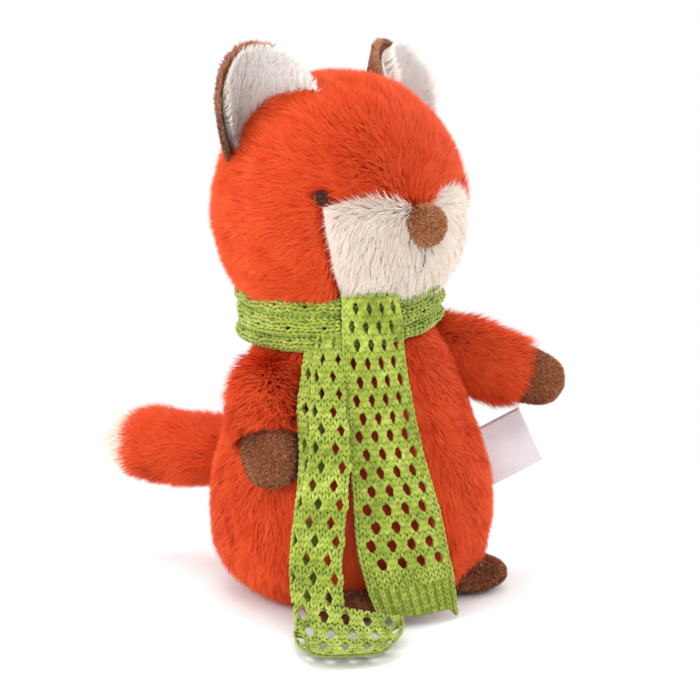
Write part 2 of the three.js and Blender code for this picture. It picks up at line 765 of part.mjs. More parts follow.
const group = new THREE.Group();
addBody();
addHead();
addFace();
addEars();
add('scarf_neck_wrap', wrapForm(0).subtract(bodyForm(gap)).subtract(headForm(gap)), colours.green);
addFrontPanel();
addSideFall();
addFloorEnd();
addLabel();
addLimb({ sleeve: 'arm_right_sleeve', end: 'arm_right_paw', filling: 'arm_right_stuffing' },
  armRight, armShares, shortPile, { sleeve: colours.orange, end: colours.brown });
addLimb({ sleeve: 'arm_left_sleeve', end: 'arm_left_paw', filling: 'arm_left_stuffing' },
  armLeft, armShares, shortPile, { sleeve: colours.orange, end: colours.brown });
addLimb({ sleeve: 'tail_sleeve', end: 'tail_tip', filling: 'tail_stuffing' },
  tail, tailShares, shortPile, { sleeve: colours.orange, end: colours.cream });
addFoot('foot_right', 1);
addFoot('foot_left', -1);
group.add(...parts);

export default group;
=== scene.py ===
"""Looks of a sitting plush fox in a knitted lace scarf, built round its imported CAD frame.

Sizes are in millimetres and become metres where a mesh is made. The fox faces -Y, its
right side is -X, and it sits on the floor at Z 0. An azimuth is in degrees round +Z, from
the front towards the fox's right.
"""

import itertools
import logging
import math
from dataclasses import dataclass, field
from enum import Enum, IntEnum
from typing import Callable

import bpy
import numpy as np
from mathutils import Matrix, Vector


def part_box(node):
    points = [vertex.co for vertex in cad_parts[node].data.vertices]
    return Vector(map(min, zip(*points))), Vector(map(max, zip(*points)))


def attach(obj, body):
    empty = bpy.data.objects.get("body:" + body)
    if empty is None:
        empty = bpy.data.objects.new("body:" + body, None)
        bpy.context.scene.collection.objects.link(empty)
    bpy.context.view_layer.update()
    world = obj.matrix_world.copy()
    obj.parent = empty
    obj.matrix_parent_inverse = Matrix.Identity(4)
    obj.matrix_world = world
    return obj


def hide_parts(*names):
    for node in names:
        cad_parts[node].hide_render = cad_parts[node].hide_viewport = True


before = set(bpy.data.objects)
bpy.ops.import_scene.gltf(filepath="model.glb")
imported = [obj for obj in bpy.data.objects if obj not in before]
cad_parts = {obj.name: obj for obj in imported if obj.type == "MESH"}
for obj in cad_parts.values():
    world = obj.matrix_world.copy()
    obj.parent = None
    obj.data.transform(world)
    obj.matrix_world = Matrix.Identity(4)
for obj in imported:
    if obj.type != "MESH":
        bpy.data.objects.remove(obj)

Array = np.ndarray
Surface = Callable[[Array, Array], Array]

MM = 0.001
UP = np.array([0.0, 0.0, 1.0])
BAKE_MAP = "OFBake"
MOST_TRIANGLES = 190_000
WANDER_WAVE = 24
LENGTH_WAVE = 13
LENGTH_RANGE = (0.72, 1.12)
ROOT_DEPTH = 0.4

log = logging.getLogger("fox")
logging.basicConfig(level=logging.INFO, format="%(name)s: %(message)s")
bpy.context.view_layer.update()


class Side(Enum):
    """Which side of the fox a piece is on, with the sign of its azimuth."""

    RIGHT = 1
    LEFT = -1

    @property
    def word(self) -> str:
        """The side's name in a piece's name."""
        return self.name.lower()


class Slot(Enum):
    """The record's material slots."""

    ORANGE = "orange_plush"
    CREAM = "cream_plush"
    BROWN = "brown_plush"
    NOSE = "nose_felt"
    THREAD = "dark_thread"
    GREEN = "green_yarn"
    LABEL = "label_cloth"


class Seed(IntEnum):
    """Where the random draws of each pile and yarn start."""

    BODY = 11
    HEAD = 23
    MUZZLE = 31
    NOSE = 41
    EAR_BACK = 51
    EAR_RIM = 61
    EAR_LINING = 71
    FOOT = 81
    WRAP_LEFT = 101
    WRAP_RIGHT = 102
    FRONT = 103
    HEM = 104
    FALL = 105
    END = 106
    RIGHT_ARM = 121
    LEFT_ARM = 131
    TAIL = 141


# Numbers on vectors and curves


def unit(vectors: Array) -> Array:
    """Each vector over its own length."""
    return vectors / np.maximum(np.linalg.norm(vectors, axis=-1, keepdims=True), 1e-9)


def radial(azimuth: Array | float) -> Array:
    """Level unit vectors that point to azimuths in degrees: (-sin, -cos, 0)."""
    angle = np.radians(azimuth)
    return np.stack([-np.sin(angle), -np.cos(angle), np.zeros_like(angle)], -1)


def beside(out: Array) -> Array:
    """Level vectors square to level ones: (-y, x, 0)."""
    return np.stack([-out[..., 1], out[..., 0], 0 * out[..., 0]], -1)


def round_steps(count: int) -> Array:
    """Angles in radians, spread evenly round a circle."""
    return 2 * math.pi * np.arange(count) / count


def circle(angle: Array, across: Array, over: Array) -> Array:
    """Points of a unit circle: cos across + sin over."""
    return np.cos(angle)[..., None] * across + np.sin(angle)[..., None] * over


def rotated(a: Array, b: Array, degrees: float) -> tuple[Array, Array]:
    """A point turned in its plane: (a cos - b sin, a sin + b cos)."""
    angle = np.radians(degrees)
    return a * np.cos(angle) - b * np.sin(angle), a * np.sin(angle) + b * np.cos(angle)


def smooth(value: Array, low: float, high: float) -> Array:
    """0 below low, 1 above high, and the cubic 3x^2 - 2x^3 between them."""
    share = np.clip((value - low) / (high - low), 0, 1)
    return share * share * (3 - 2 * share)


def spline(knots: Array, share: Array) -> Array:
    """A Catmull-Rom curve through knots.

    Each stretch from knot b to knot c, with neighbours a and d, is half of
    2b + (c - a)f + (2a - 5b + 4c - d)f^2 + (3b - a - 3c + d)f^3.

    Args:
        knots: One row for each knot.
        share: Places from 0 at the first knot to 1 at the last.

    Returns:
        One point for each share.
    """
    ends = np.vstack([2 * knots[0] - knots[1], knots, 2 * knots[-1] - knots[-2]])
    place = np.clip(share, 0, 1) * (len(knots) - 1)
    first = np.minimum(place.astype(int), len(knots) - 2)
    f = (place - first)[..., None]
    a, b, c, d = ends[first], ends[first + 1], ends[first + 2], ends[first + 3]
    return 0.5 * (
        2 * b + (c - a) * f + (2 * a - 5 * b + 4 * c - d) * f**2 + (3 * b - a - 3 * c + d) * f**3
    )


@dataclass(frozen=True)
class Track:
    """A curve through knots that is read by the share of its own length."""

    knots: Array
    samples: int = 500

    def walked(self) -> tuple[Array, Array]:
        """Points close together along the curve, and how far along each one is.

        Returns:
            The points, and how far along each one is.
        """
        run = spline(self.knots, np.linspace(0, 1, self.samples))
        steps = np.linalg.norm(np.diff(run, axis=0), axis=1)
        return run, np.concatenate([[0.0], np.cumsum(steps)])

    def length(self) -> float:
        """The curve's length."""
        return float(self.walked()[1][-1])

    def at(self, share: Array) -> Array:
        """Points at shares of the length; past the ends the curve runs straight on.

        Args:
            share: Shares of the curve's length.

        Returns:
            Places in millimetres.
        """
        run, reach = self.walked()
        inside = np.clip(share, 0, 1)
        columns = [np.interp(inside * reach[-1], reach, run[:, k]) for k in range(run.shape[1])]
        beyond = (share - inside)[..., None] * reach[-1]
        slope = np.where((share < 0.5)[..., None], unit(run[1] - run[0]), unit(run[-1] - run[-2]))
        return np.stack(columns, -1) + beyond * slope


def ripple(place: Array, wavelength: float, seed: int) -> Array:
    """Soft unevenness, about -1 to 1: the sum of six sine waves in seeded directions.

    Args:
        place: Places in millimetres.
        wavelength: The length of its waves.
        seed: Where the random numbers start.

    Returns:
        The unevenness at each place.
    """
    rng = np.random.default_rng(seed)
    across = unit(rng.normal(size=(6, 3)))
    lengths = wavelength * rng.uniform(0.7, 1.4, 6)
    phase = rng.uniform(0, 2 * math.pi, 6)
    return np.sin(place @ (across * (2 * math.pi / lengths)[:, None]).T + phase).sum(-1) / 3


def nearest_tuft(place: Array, spacing: float, seed: int) -> Array:
    """For each place, the nearest of points scattered one to a cube of `spacing`.

    A cube's point is its corner plus the fraction of 43758.5 sin(corner . k + seed), a
    different k for each axis, so that it is the same in each run.

    Args:
        place: Places in millimetres.
        spacing: The side of a cube.
        seed: Where the random numbers start.

    Returns:
        The nearest point for each place.
    """
    keys = np.array([[12.99, 78.23, 37.72], [39.35, 11.14, 83.16], [73.16, 52.24, 9.15]])
    corner = np.floor(place / spacing)
    best = np.full(len(place), np.inf)
    found = np.zeros_like(place)
    for offset in itertools.product((-1, 0, 1), repeat=3):
        cube = corner + offset
        shift = np.abs(np.modf(np.sin(cube @ keys.T + seed) * 43758.5)[0])
        point = (cube + shift) * spacing
        apart = ((point - place) ** 2).sum(-1)
        closer = apart < best
        best = np.where(closer, apart, best)
        found[closer] = point[closer]
    return found


def towards_right(place: Array) -> Array:
    """1 on the fox's right, -1 on its left, 0 in front and behind: -x over the distance from the axis."""
    return -place[..., 0] / np.maximum(np.hypot(place[..., 0], place[..., 1]), 1e-6)


def inside_outline(x: Array, z: Array, outline: Array) -> Array:
    """Whether points are inside a closed outline: their level rays cross its edges an odd number of times.

    Args:
        x: The points' first coordinates.
        z: Their second ones.
        outline: The outline's corners.

    Returns:
        Whether each point is inside.
    """
    crossed = np.zeros(np.shape(x), int)
    for (x0, z0), (x1, z1) in zip(outline, np.roll(outline, -1, axis=0)):
        spans = (z0 > z) != (z1 > z)
        at = x0 + (z - z0) * (x1 - x0) / (z1 - z0 if z1 != z0 else 1e-9)
        crossed += spans & (x < at)
    return crossed % 2 == 1


# Meshes


def in_scene(name: str, data: bpy.types.ID) -> bpy.types.Object:
    """Makes an object of some data and links it to the scene.

    Args:
        name: The object's name.
        data: Its mesh, curve or lamp.

    Returns:
        The object.
    """
    made = bpy.data.objects.new(name, data)
    bpy.context.scene.collection.objects.link(made)
    return made


def grid_quads(rows: int, columns: int) -> Array:
    """The faces between the points of an open grid, which are numbered row after row.

    Args:
        rows: The number of rows.
        columns: The points in a row.

    Returns:
        Four point numbers for each face.
    """
    row, column = np.meshgrid(np.arange(rows - 1), np.arange(columns - 1), indexing="ij")
    corner = row * columns + column
    return np.stack([corner, corner + columns, corner + columns + 1, corner + 1], -1).reshape(-1, 4)


def ring_quads(count: int, sides: int) -> Array:
    """The faces between closed rings of points, which are numbered ring after ring.

    Args:
        count: The number of rings.
        sides: The points in a ring.

    Returns:
        Four point numbers for each face.
    """
    row, column = np.meshgrid(np.arange(count - 1), np.arange(sides), indexing="ij")
    after = (column + 1) % sides
    corners = [row * sides + column, row * sides + after, (row + 1) * sides + after, (row + 1) * sides + column]
    return np.stack(corners, -1).reshape(-1, 4)


def rings_of(surface: Surface, low: float, high: float, count: int, sides: int) -> Array:
    """Rings of a surface from one v to another, as an array of rings, points and 3.

    Args:
        surface: A closed surface of u round and v along.
        low: The first v.
        high: The last v.
        count: The number of rings.
        sides: The points in a ring.

    Returns:
        The rings' places.
    """
    v = np.linspace(low, high, count)[:, None]
    u = np.linspace(0, 1, sides, endpoint=False)[None, :]
    return surface(*np.broadcast_arrays(u, v))


def mesh_object(
    name: str,
    places: Array,
    loops: Array,
    totals: Array,
    material: bpy.types.Material,
    uv: Array | None = None,
    is_smooth: bool = True,
    normals: Array | None = None,
) -> bpy.types.Object:
    """Makes an object from whole arrays.

    Args:
        name: The piece's name.
        places: Vertices in millimetres.
        loops: Vertex numbers, face after face.
        totals: How many of them each face has.
        material: The piece's finish.
        uv: One UV place for each loop.
        is_smooth: Whether the faces are shaded smooth.
        normals: The shading normal at each vertex, where it isn't the faces' own.

    Returns:
        The object, at the origin, with its place in its mesh.
    """
    mesh = bpy.data.meshes.new(name)
    mesh.vertices.add(len(places))
    mesh.vertices.foreach_set("co", (places * MM).astype(np.float32).ravel())
    mesh.loops.add(len(loops))
    mesh.loops.foreach_set("vertex_index", loops.astype(np.int32))
    starts = np.concatenate([[0], np.cumsum(totals)[:-1]])
    mesh.polygons.add(len(totals))
    mesh.polygons.foreach_set("loop_start", starts.astype(np.int32))
    mesh.polygons.foreach_set("use_smooth", np.full(len(totals), is_smooth))
    if uv is not None:
        layer = mesh.uv_layers.new(name=BAKE_MAP)
        layer.data.foreach_set("uv", uv.astype(np.float32).ravel())
    mesh.materials.append(material)
    mesh.update(calc_edges=True)
    mesh.validate()
    if normals is not None:
        mesh.normals_split_custom_set_from_vertices(normals.astype(np.float32))
    return in_scene(name, mesh)


def facing_out(places: Array, quads: Array, triangles: Array) -> tuple[Array, Array]:
    """A closed mesh's faces, turned round if the volume that they enclose is negative.

    Args:
        places: The points.
        quads: The four-sided faces.
        triangles: The three-sided faces.

    Returns:
        The four-sided and the three-sided faces, facing outwards.
    """
    halves = np.vstack([quads[:, [0, 1, 2]], quads[:, [0, 2, 3]], triangles])
    a, b, c = places[halves[:, 0]], places[halves[:, 1]], places[halves[:, 2]]
    if np.einsum("ij,ij->i", a, np.cross(b, c)).sum() < 0:
        return quads[:, ::-1], triangles[:, ::-1]
    return quads, triangles


def closed_form(name: str, rings: Array, material: bpy.types.Material) -> bpy.types.Object:
    """Joins rings of points into a closed piece, each end closed by a fan about its middle.

    Args:
        name: The piece's name.
        rings: Rings from one end to the other, as an array of rings, points and 3.
        material: The piece's finish.

    Returns:
        The piece.
    """
    count, sides, _ = rings.shape
    places = np.vstack([rings.reshape(-1, 3), rings[0].mean(0), rings[-1].mean(0)])
    quads = ring_quads(count, sides)
    around = np.arange(sides)
    following = (around + 1) % sides
    first, last = np.full(sides, len(places) - 2), np.full(sides, len(places) - 1)
    final = (count - 1) * sides
    triangles = np.vstack([
        np.stack([following, around, first], -1),
        np.stack([final + around, final + following, last], -1),
    ])
    quads, triangles = facing_out(places, quads, triangles)
    loops = np.concatenate([quads.ravel(), triangles.ravel()])
    totals = np.concatenate([np.full(len(quads), 4), np.full(len(triangles), 3)])
    return mesh_object(name, places, loops, totals, material)


def tubes(
    name: str, paths: Array, ups: Array, sizes: Array, sides: int, tones: Array, material: bpy.types.Material
) -> bpy.types.Object:
    """Carries a round section along each of many paths: place + size (cos side + sin over).

    Side is square to the path and to `up`, and over is square to both.

    Args:
        name: The piece's name.
        paths: Places, as an array of paths, points and 3.
        ups: The way up at each of them.
        sizes: The radius at each point of a path, next to nothing at its ends.
        sides: How many corners the section has.
        tones: The yarn's tone at each place, kept in the UV map across; the angle is kept up.
        material: The piece's finish.

    Returns:
        The piece.
    """
    count, points, _ = paths.shape
    ahead = unit(np.gradient(paths, axis=1))
    side = unit(np.cross(ahead, ups))
    over = np.cross(side, ahead)
    section = circle(round_steps(sides), side[:, :, None], over[:, :, None])
    places = (paths[:, :, None] + sizes[:, None, None] * section).reshape(-1, 3)
    path, row, column = (part.ravel() for part in np.indices((count, points - 1, sides)))
    after = (column + 1) % sides
    first = (path * points + row) * sides
    quads = np.stack([first + sides + column, first + sides + after, first + after, first + column], -1)
    left = np.clip(tones[path, row], 0.01, 0.96)
    right, low = left + 0.02, column / sides
    high = low + 1 / sides
    uv = np.stack([np.stack(pair, -1) for pair in ((right, low), (right, high), (left, high), (left, low))], 1)
    return mesh_object(name, places, quads.ravel(), np.full(len(quads), 4), material, uv.reshape(-1, 2))


def thread(
    name: str, path: Array, up: Array, radius: float, tone: Array, material: bpy.types.Material
) -> bpy.types.Object:
    """One thread along a path, as thick as radius up to its ends.

    Args:
        name: The piece's name.
        path: Places along it.
        up: A direction that isn't along it.
        radius: Its radius in millimetres.
        tone: The tone at each place, 0 to 1.
        material: The piece's finish.

    Returns:
        The piece.
    """
    sizes = np.full(len(path), radius)
    sizes[[0, -1]] = radius * 0.02
    return tubes(name, path[None], np.broadcast_to(up, path.shape)[None], sizes, 8, tone[None], material)


def thicken(piece: bpy.types.Object, thickness: float) -> None:
    """Gives an open piece a thickness in millimetres, half on each side."""
    solid = piece.modifiers.new("thickness", "SOLIDIFY")
    solid.thickness, solid.offset = thickness * MM, 0.0


# Finishes


def linear(colour: str) -> tuple[float, float, float, float]:
    """An sRGB hex colour as linear numbers: c / 12.92, or ((c + 0.055) / 1.055)^2.4 above 0.04045.

    Args:
        colour: The hex colour.

    Returns:
        Linear red, green and blue, and 1.
    """
    parts = np.array([int(colour[k : k + 2], 16) / 255 for k in (1, 3, 5)])
    straight = np.where(parts <= 0.04045, parts / 12.92, ((parts + 0.055) / 1.055) ** 2.4)
    return (*straight.tolist(), 1.0)


def add_node(
    tree: bpy.types.NodeTree, kind: str, settings: dict | None = None, links: dict | None = None
) -> bpy.types.Node:
    """Adds a node with its settings and links.

    Args:
        tree: The material's or world's node tree.
        kind: The node's type name.
        settings: Properties by name, sockets by name or number, and "stops" for a ramp.
        links: The output that goes into each input, by the input's name or number.

    Returns:
        The node.
    """
    node = tree.nodes.new(kind)
    for key, value in (settings or {}).items():
        if key == "stops":
            ramp = node.color_ramp
            while len(ramp.elements) < len(value):
                ramp.elements.new(0.5)
            for element, (place, colour) in zip(ramp.elements, value):
                element.position, element.color = place, linear(colour)
        elif isinstance(key, str) and hasattr(node, key):
            setattr(node, key, value)
        else:
            node.inputs[key].default_value = value
    for key, output in (links or {}).items():
        tree.links.new(output, node.inputs[key])
    return node


def new_material(name: str) -> tuple[bpy.types.Material, bpy.types.NodeTree]:
    """An empty material that uses nodes, and its tree.

    Args:
        name: The material's name.

    Returns:
        The material and its tree.
    """
    material = bpy.data.materials.new(name)
    material.use_nodes = True
    material.node_tree.nodes.clear()
    return material, material.node_tree


def uv_parts(tree: bpy.types.NodeTree) -> list[bpy.types.NodeSocket]:
    """The two parts of the piece's own UV map."""
    uv = add_node(tree, "ShaderNodeUVMap", {"uv_map": BAKE_MAP})
    return list(add_node(tree, "ShaderNodeSeparateXYZ", links={0: uv.outputs[0]}).outputs)[:2]


def noise(
    tree: bpy.types.NodeTree, place: bpy.types.NodeSocket, size: float, settings: dict | None = None
) -> bpy.types.NodeSocket:
    """Noise of a size in millimetres."""
    wanted = {"Scale": 1 / (size * MM), "Detail": 2.0, **(settings or {})}
    return add_node(tree, "ShaderNodeTexNoise", wanted, {"Vector": place}).outputs[0]


def ramp(
    tree: bpy.types.NodeTree, share: bpy.types.NodeSocket, places: tuple[float, ...], colours: tuple[str, ...]
) -> bpy.types.NodeSocket:
    """Colours at places of a ramp that is read by a share."""
    return add_node(tree, "ShaderNodeValToRGB", {"stops": list(zip(places, colours))}, {0: share}).outputs[0]


def close_surface(
    tree: bpy.types.NodeTree, colour: bpy.types.NodeSocket, height: bpy.types.NodeSocket,
    relief: tuple[float, float], settings: dict,
) -> None:
    """Ends a cloth's tree with its shader and its bump.

    Args:
        tree: The material's node tree.
        colour: The cloth's colour.
        height: The height for the bump.
        relief: The bump's strength, and its distance in millimetres.
        settings: The shader's own settings.
    """
    strength, distance = relief
    sizes = {"Strength": strength, "Distance": distance * MM}
    bump = add_node(tree, "ShaderNodeBump", sizes, {"Height": height})
    inputs = {"Base Color": colour, "Normal": bump.outputs[0]}
    shader = add_node(tree, "ShaderNodeBsdfPrincipled", settings, inputs)
    add_node(tree, "ShaderNodeOutputMaterial", links={0: shader.outputs[0]})


def wool_settings(roughness: float, sheen: float) -> dict:
    """A fibre cloth's shader: little mirror shine, and a soft sheen."""
    return {"Roughness": roughness, "Sheen Weight": sheen, "Sheen Roughness": 0.5, "Specular IOR Level": 0.3}


@dataclass(frozen=True)
class PileFinish:
    """Acrylic pile of plush cloth, cut and brushed.

    A strand is darker at its root, as painted shade of the pile's depth, and paler at its
    tip, as painted light. The pile's UV map gives the strand's tone across and the
    share of its length up, so shade A and shade B are two strands next to each other.
    """

    name: str
    deep: tuple[str, str, str]
    bright: tuple[str, str, str]
    roughness: float = 0.62
    sheen: float = 0.05
    translucence: float = 0.35

    def material(self) -> bpy.types.Material:
        """Two root-to-tip ramps, mixed by the strand's tone, on a strand that lets light through.

        Returns:
            The finish as a material.
        """
        material, tree = new_material(self.name)
        tone, share = uv_parts(tree)
        # Each ramp runs from a darker root, painted shade of the pile's depth, to a paler tip, painted light.
        deep, bright = (ramp(tree, share, (0.0, 0.5, 1.0), shades) for shades in (self.deep, self.bright))
        colour = add_node(tree, "ShaderNodeMix", {"data_type": "RGBA"}, {0: tone, 6: deep, 7: bright})
        settings = wool_settings(self.roughness, self.sheen) | {"Sheen Roughness": 0.4, "Specular IOR Level": 0.25}
        shader = add_node(tree, "ShaderNodeBsdfPrincipled", settings, {"Base Color": colour.outputs[2]})
        through = add_node(tree, "ShaderNodeBsdfTranslucent", links={"Color": colour.outputs[2]})
        both = {1: shader.outputs[0], 2: through.outputs[0]}
        mix = add_node(tree, "ShaderNodeMixShader", {"Fac": self.translucence}, both)
        add_node(tree, "ShaderNodeOutputMaterial", links={0: mix.outputs[0]})
        return material


@dataclass(frozen=True)
class ClothFinish:
    """Knitted polyester backing or short-napped cloth.

    The nap is too short to show as strands from afar, so its grain is noise at `grain`
    millimetres, in colour and in bump, over cloudy wear at `cloud` millimetres.
    """

    name: str
    low: str
    high: str
    grain: float = 0.5
    bump: float = 0.25
    roughness: float = 0.85
    sheen: float = 0.25
    cloud: float = 9

    def material(self) -> bpy.types.Material:
        """Grain and cloudiness from Object coordinates.

        Returns:
            The finish as a material.
        """
        material, tree = new_material(self.name)
        place = add_node(tree, "ShaderNodeTexCoord").outputs["Object"]
        grain = noise(tree, place, self.grain * 2, {"Detail": 3.0, "Roughness": 0.6})
        cloud = noise(tree, place, self.cloud)
        blend = add_node(tree, "ShaderNodeMix", {"data_type": "FLOAT", 0: 0.4}, {2: grain, 3: cloud})
        colour = ramp(tree, blend.outputs[0], (0.32, 0.68), (self.low, self.high))
        close_surface(tree, colour, grain, (self.bump, self.grain), wool_settings(self.roughness, self.sheen))
        return material


@dataclass(frozen=True)
class YarnFinish:
    """Soft two-ply acrylic wool, heathered.

    The yarn's UV map gives its tone across. The fibres on it are bump at `fibre`
    millimetres, as coarse as it needs to be to show.
    """

    name: str
    shades: tuple[str, str, str]
    roughness: float = 0.8
    sheen: float = 0.35
    fibre: float = 0.7

    def material(self) -> bpy.types.Material:
        """A ramp by the yarn's tone, with fine fibre bump.

        Returns:
            The finish as a material.
        """
        material, tree = new_material(self.name)
        colour = ramp(tree, uv_parts(tree)[0], (0.1, 0.5, 0.9), self.shades)
        fibre = noise(tree, add_node(tree, "ShaderNodeTexCoord").outputs["Object"], self.fibre)
        close_surface(tree, colour, fibre, (0.5, 0.3), wool_settings(self.roughness, self.sheen))
        return material


@dataclass(frozen=True)
class SatinFinish:
    """Woven polyester satin ribbon, with fine ribs across it and a soft gloss."""

    name: str
    low: str
    high: str
    rib: float = 0.45
    cloud: float = 14

    def material(self) -> bpy.types.Material:
        """Ribs by a wave on Object coordinates, and a slow change of tint.

        Returns:
            The finish as a material.
        """
        material, tree = new_material(self.name)
        place = add_node(tree, "ShaderNodeTexCoord").outputs["Object"]
        ribs = {"bands_direction": "Z", "Scale": 0.05 / (self.rib * MM), "Distortion": 0.6}
        weave = add_node(tree, "ShaderNodeTexWave", ribs, {"Vector": place})
        colour = ramp(tree, noise(tree, place, self.cloud), (0.3, 0.7), (self.low, self.high))
        close_surface(tree, colour, weave.outputs[1], (0.12, 0.1), {"Roughness": 0.42, "Sheen Weight": 0.2})
        return material


class Wardrobe:
    """Every finish of the fox, each made once."""

    def __init__(self) -> None:
        """Makes the materials."""
        # Each pile's shades run root, middle, tip: the darker roots are painted shade of the pile's depth, and the
        # paler tips are painted light.
        self.orange_pile = PileFinish(
            "orange_acrylic_pile", ("#c82808", "#e24010", "#ec521c"),
            ("#d83a10", "#f45c24", "#ff8044"),
        ).material()
        self.cream_pile = PileFinish(
            "cream_acrylic_pile", ("#dcc6b2", "#f2e2d2", "#faeee2"),
            ("#eedccb", "#fdf3e9", "#fffaf4"),
        ).material()
        # The lining's own near-white cream, made brighter than the cream pile as painted light against the shade in
        # the ear's cup.
        self.lining_pile = PileFinish(
            "ear_lining_pile", ("#eadacc", "#fbf2e9", "#fffaf6"),
            ("#faf0e6", "#fffcf8", "#ffffff"), translucence=0.15,
        ).material()
        self.brown_nap = PileFinish(
            "brown_short_nap", ("#4c2010", "#7a4024", "#925430"),
            ("#643218", "#ae6c46", "#d6966a"), 0.75, 0.1, 0.2,
        ).material()
        self.ear_nap = PileFinish(
            "ear_back_nap", ("#6c3620", "#a0684a", "#b87c5a"),
            ("#8a5238", "#c68a68", "#e4ae8c"), 0.75, 0.1, 0.2,
        ).material()
        self.nose_nap = PileFinish(
            "nose_felted_nap", ("#582c14", "#945830", "#ac6a40"),
            ("#74401f", "#c08054", "#e8ae84"), 0.8, 0.1, 0.2,
        ).material()
        # The backing's own orange, darkened as painted shade in the gaps between the pile's strands.
        self.orange_backing = ClothFinish("orange_knit_backing", "#b42a08", "#d03c12", 0.6).material()
        self.cream_backing = ClothFinish("cream_knit_backing", "#f0e4d8", "#f8f0e6", 0.6).material()
        self.brown_cloth = ClothFinish("brown_napped_cloth", "#6a3219", "#90502c", 0.5, 0.35).material()
        self.nose_cloth = ClothFinish("nose_wool_felt", "#703c20", "#96582f", 0.45, 0.4).material()
        self.thread = YarnFinish("dark_cotton_thread", ("#240703", "#3e1006", "#642614"), 0.7, 0.0).material()
        self.yarn = YarnFinish("green_acrylic_wool", ("#73841a", "#92a32c", "#b2c052")).material()
        # The net's green is darker than the yarn's, as painted shade in the gaps between stitches.
        self.yarn_core = ClothFinish("green_wool_core", "#6c7a20", "#84922c", 0.7, 0.4).material()
        self.satin = SatinFinish("label_satin", "#d6d0d6", "#e6e1e5").material()


# Pile


@dataclass(frozen=True)
class Pile:
    """Strands of a pile: how long and thick, how many, and how they lie."""

    length: float
    width: float
    per_mm2: float
    stand: float = 0.86
    lie: float = 0.5
    tuft: float = 3.0
    pull: float = 0.2
    wander: float = 26.0
    jitter: float = 22.0
    skin: float = 0.7
    speckle: float = 0.17
    mottle: float = 8.0


SHORT_NAP = Pile(
    length=2.0, width=0.4, per_mm2=6.5, stand=0.9, lie=0.65, tuft=1.6, pull=0.4, wander=70, jitter=50,
    skin=0.25, speckle=0.28, mottle=2.6,
)


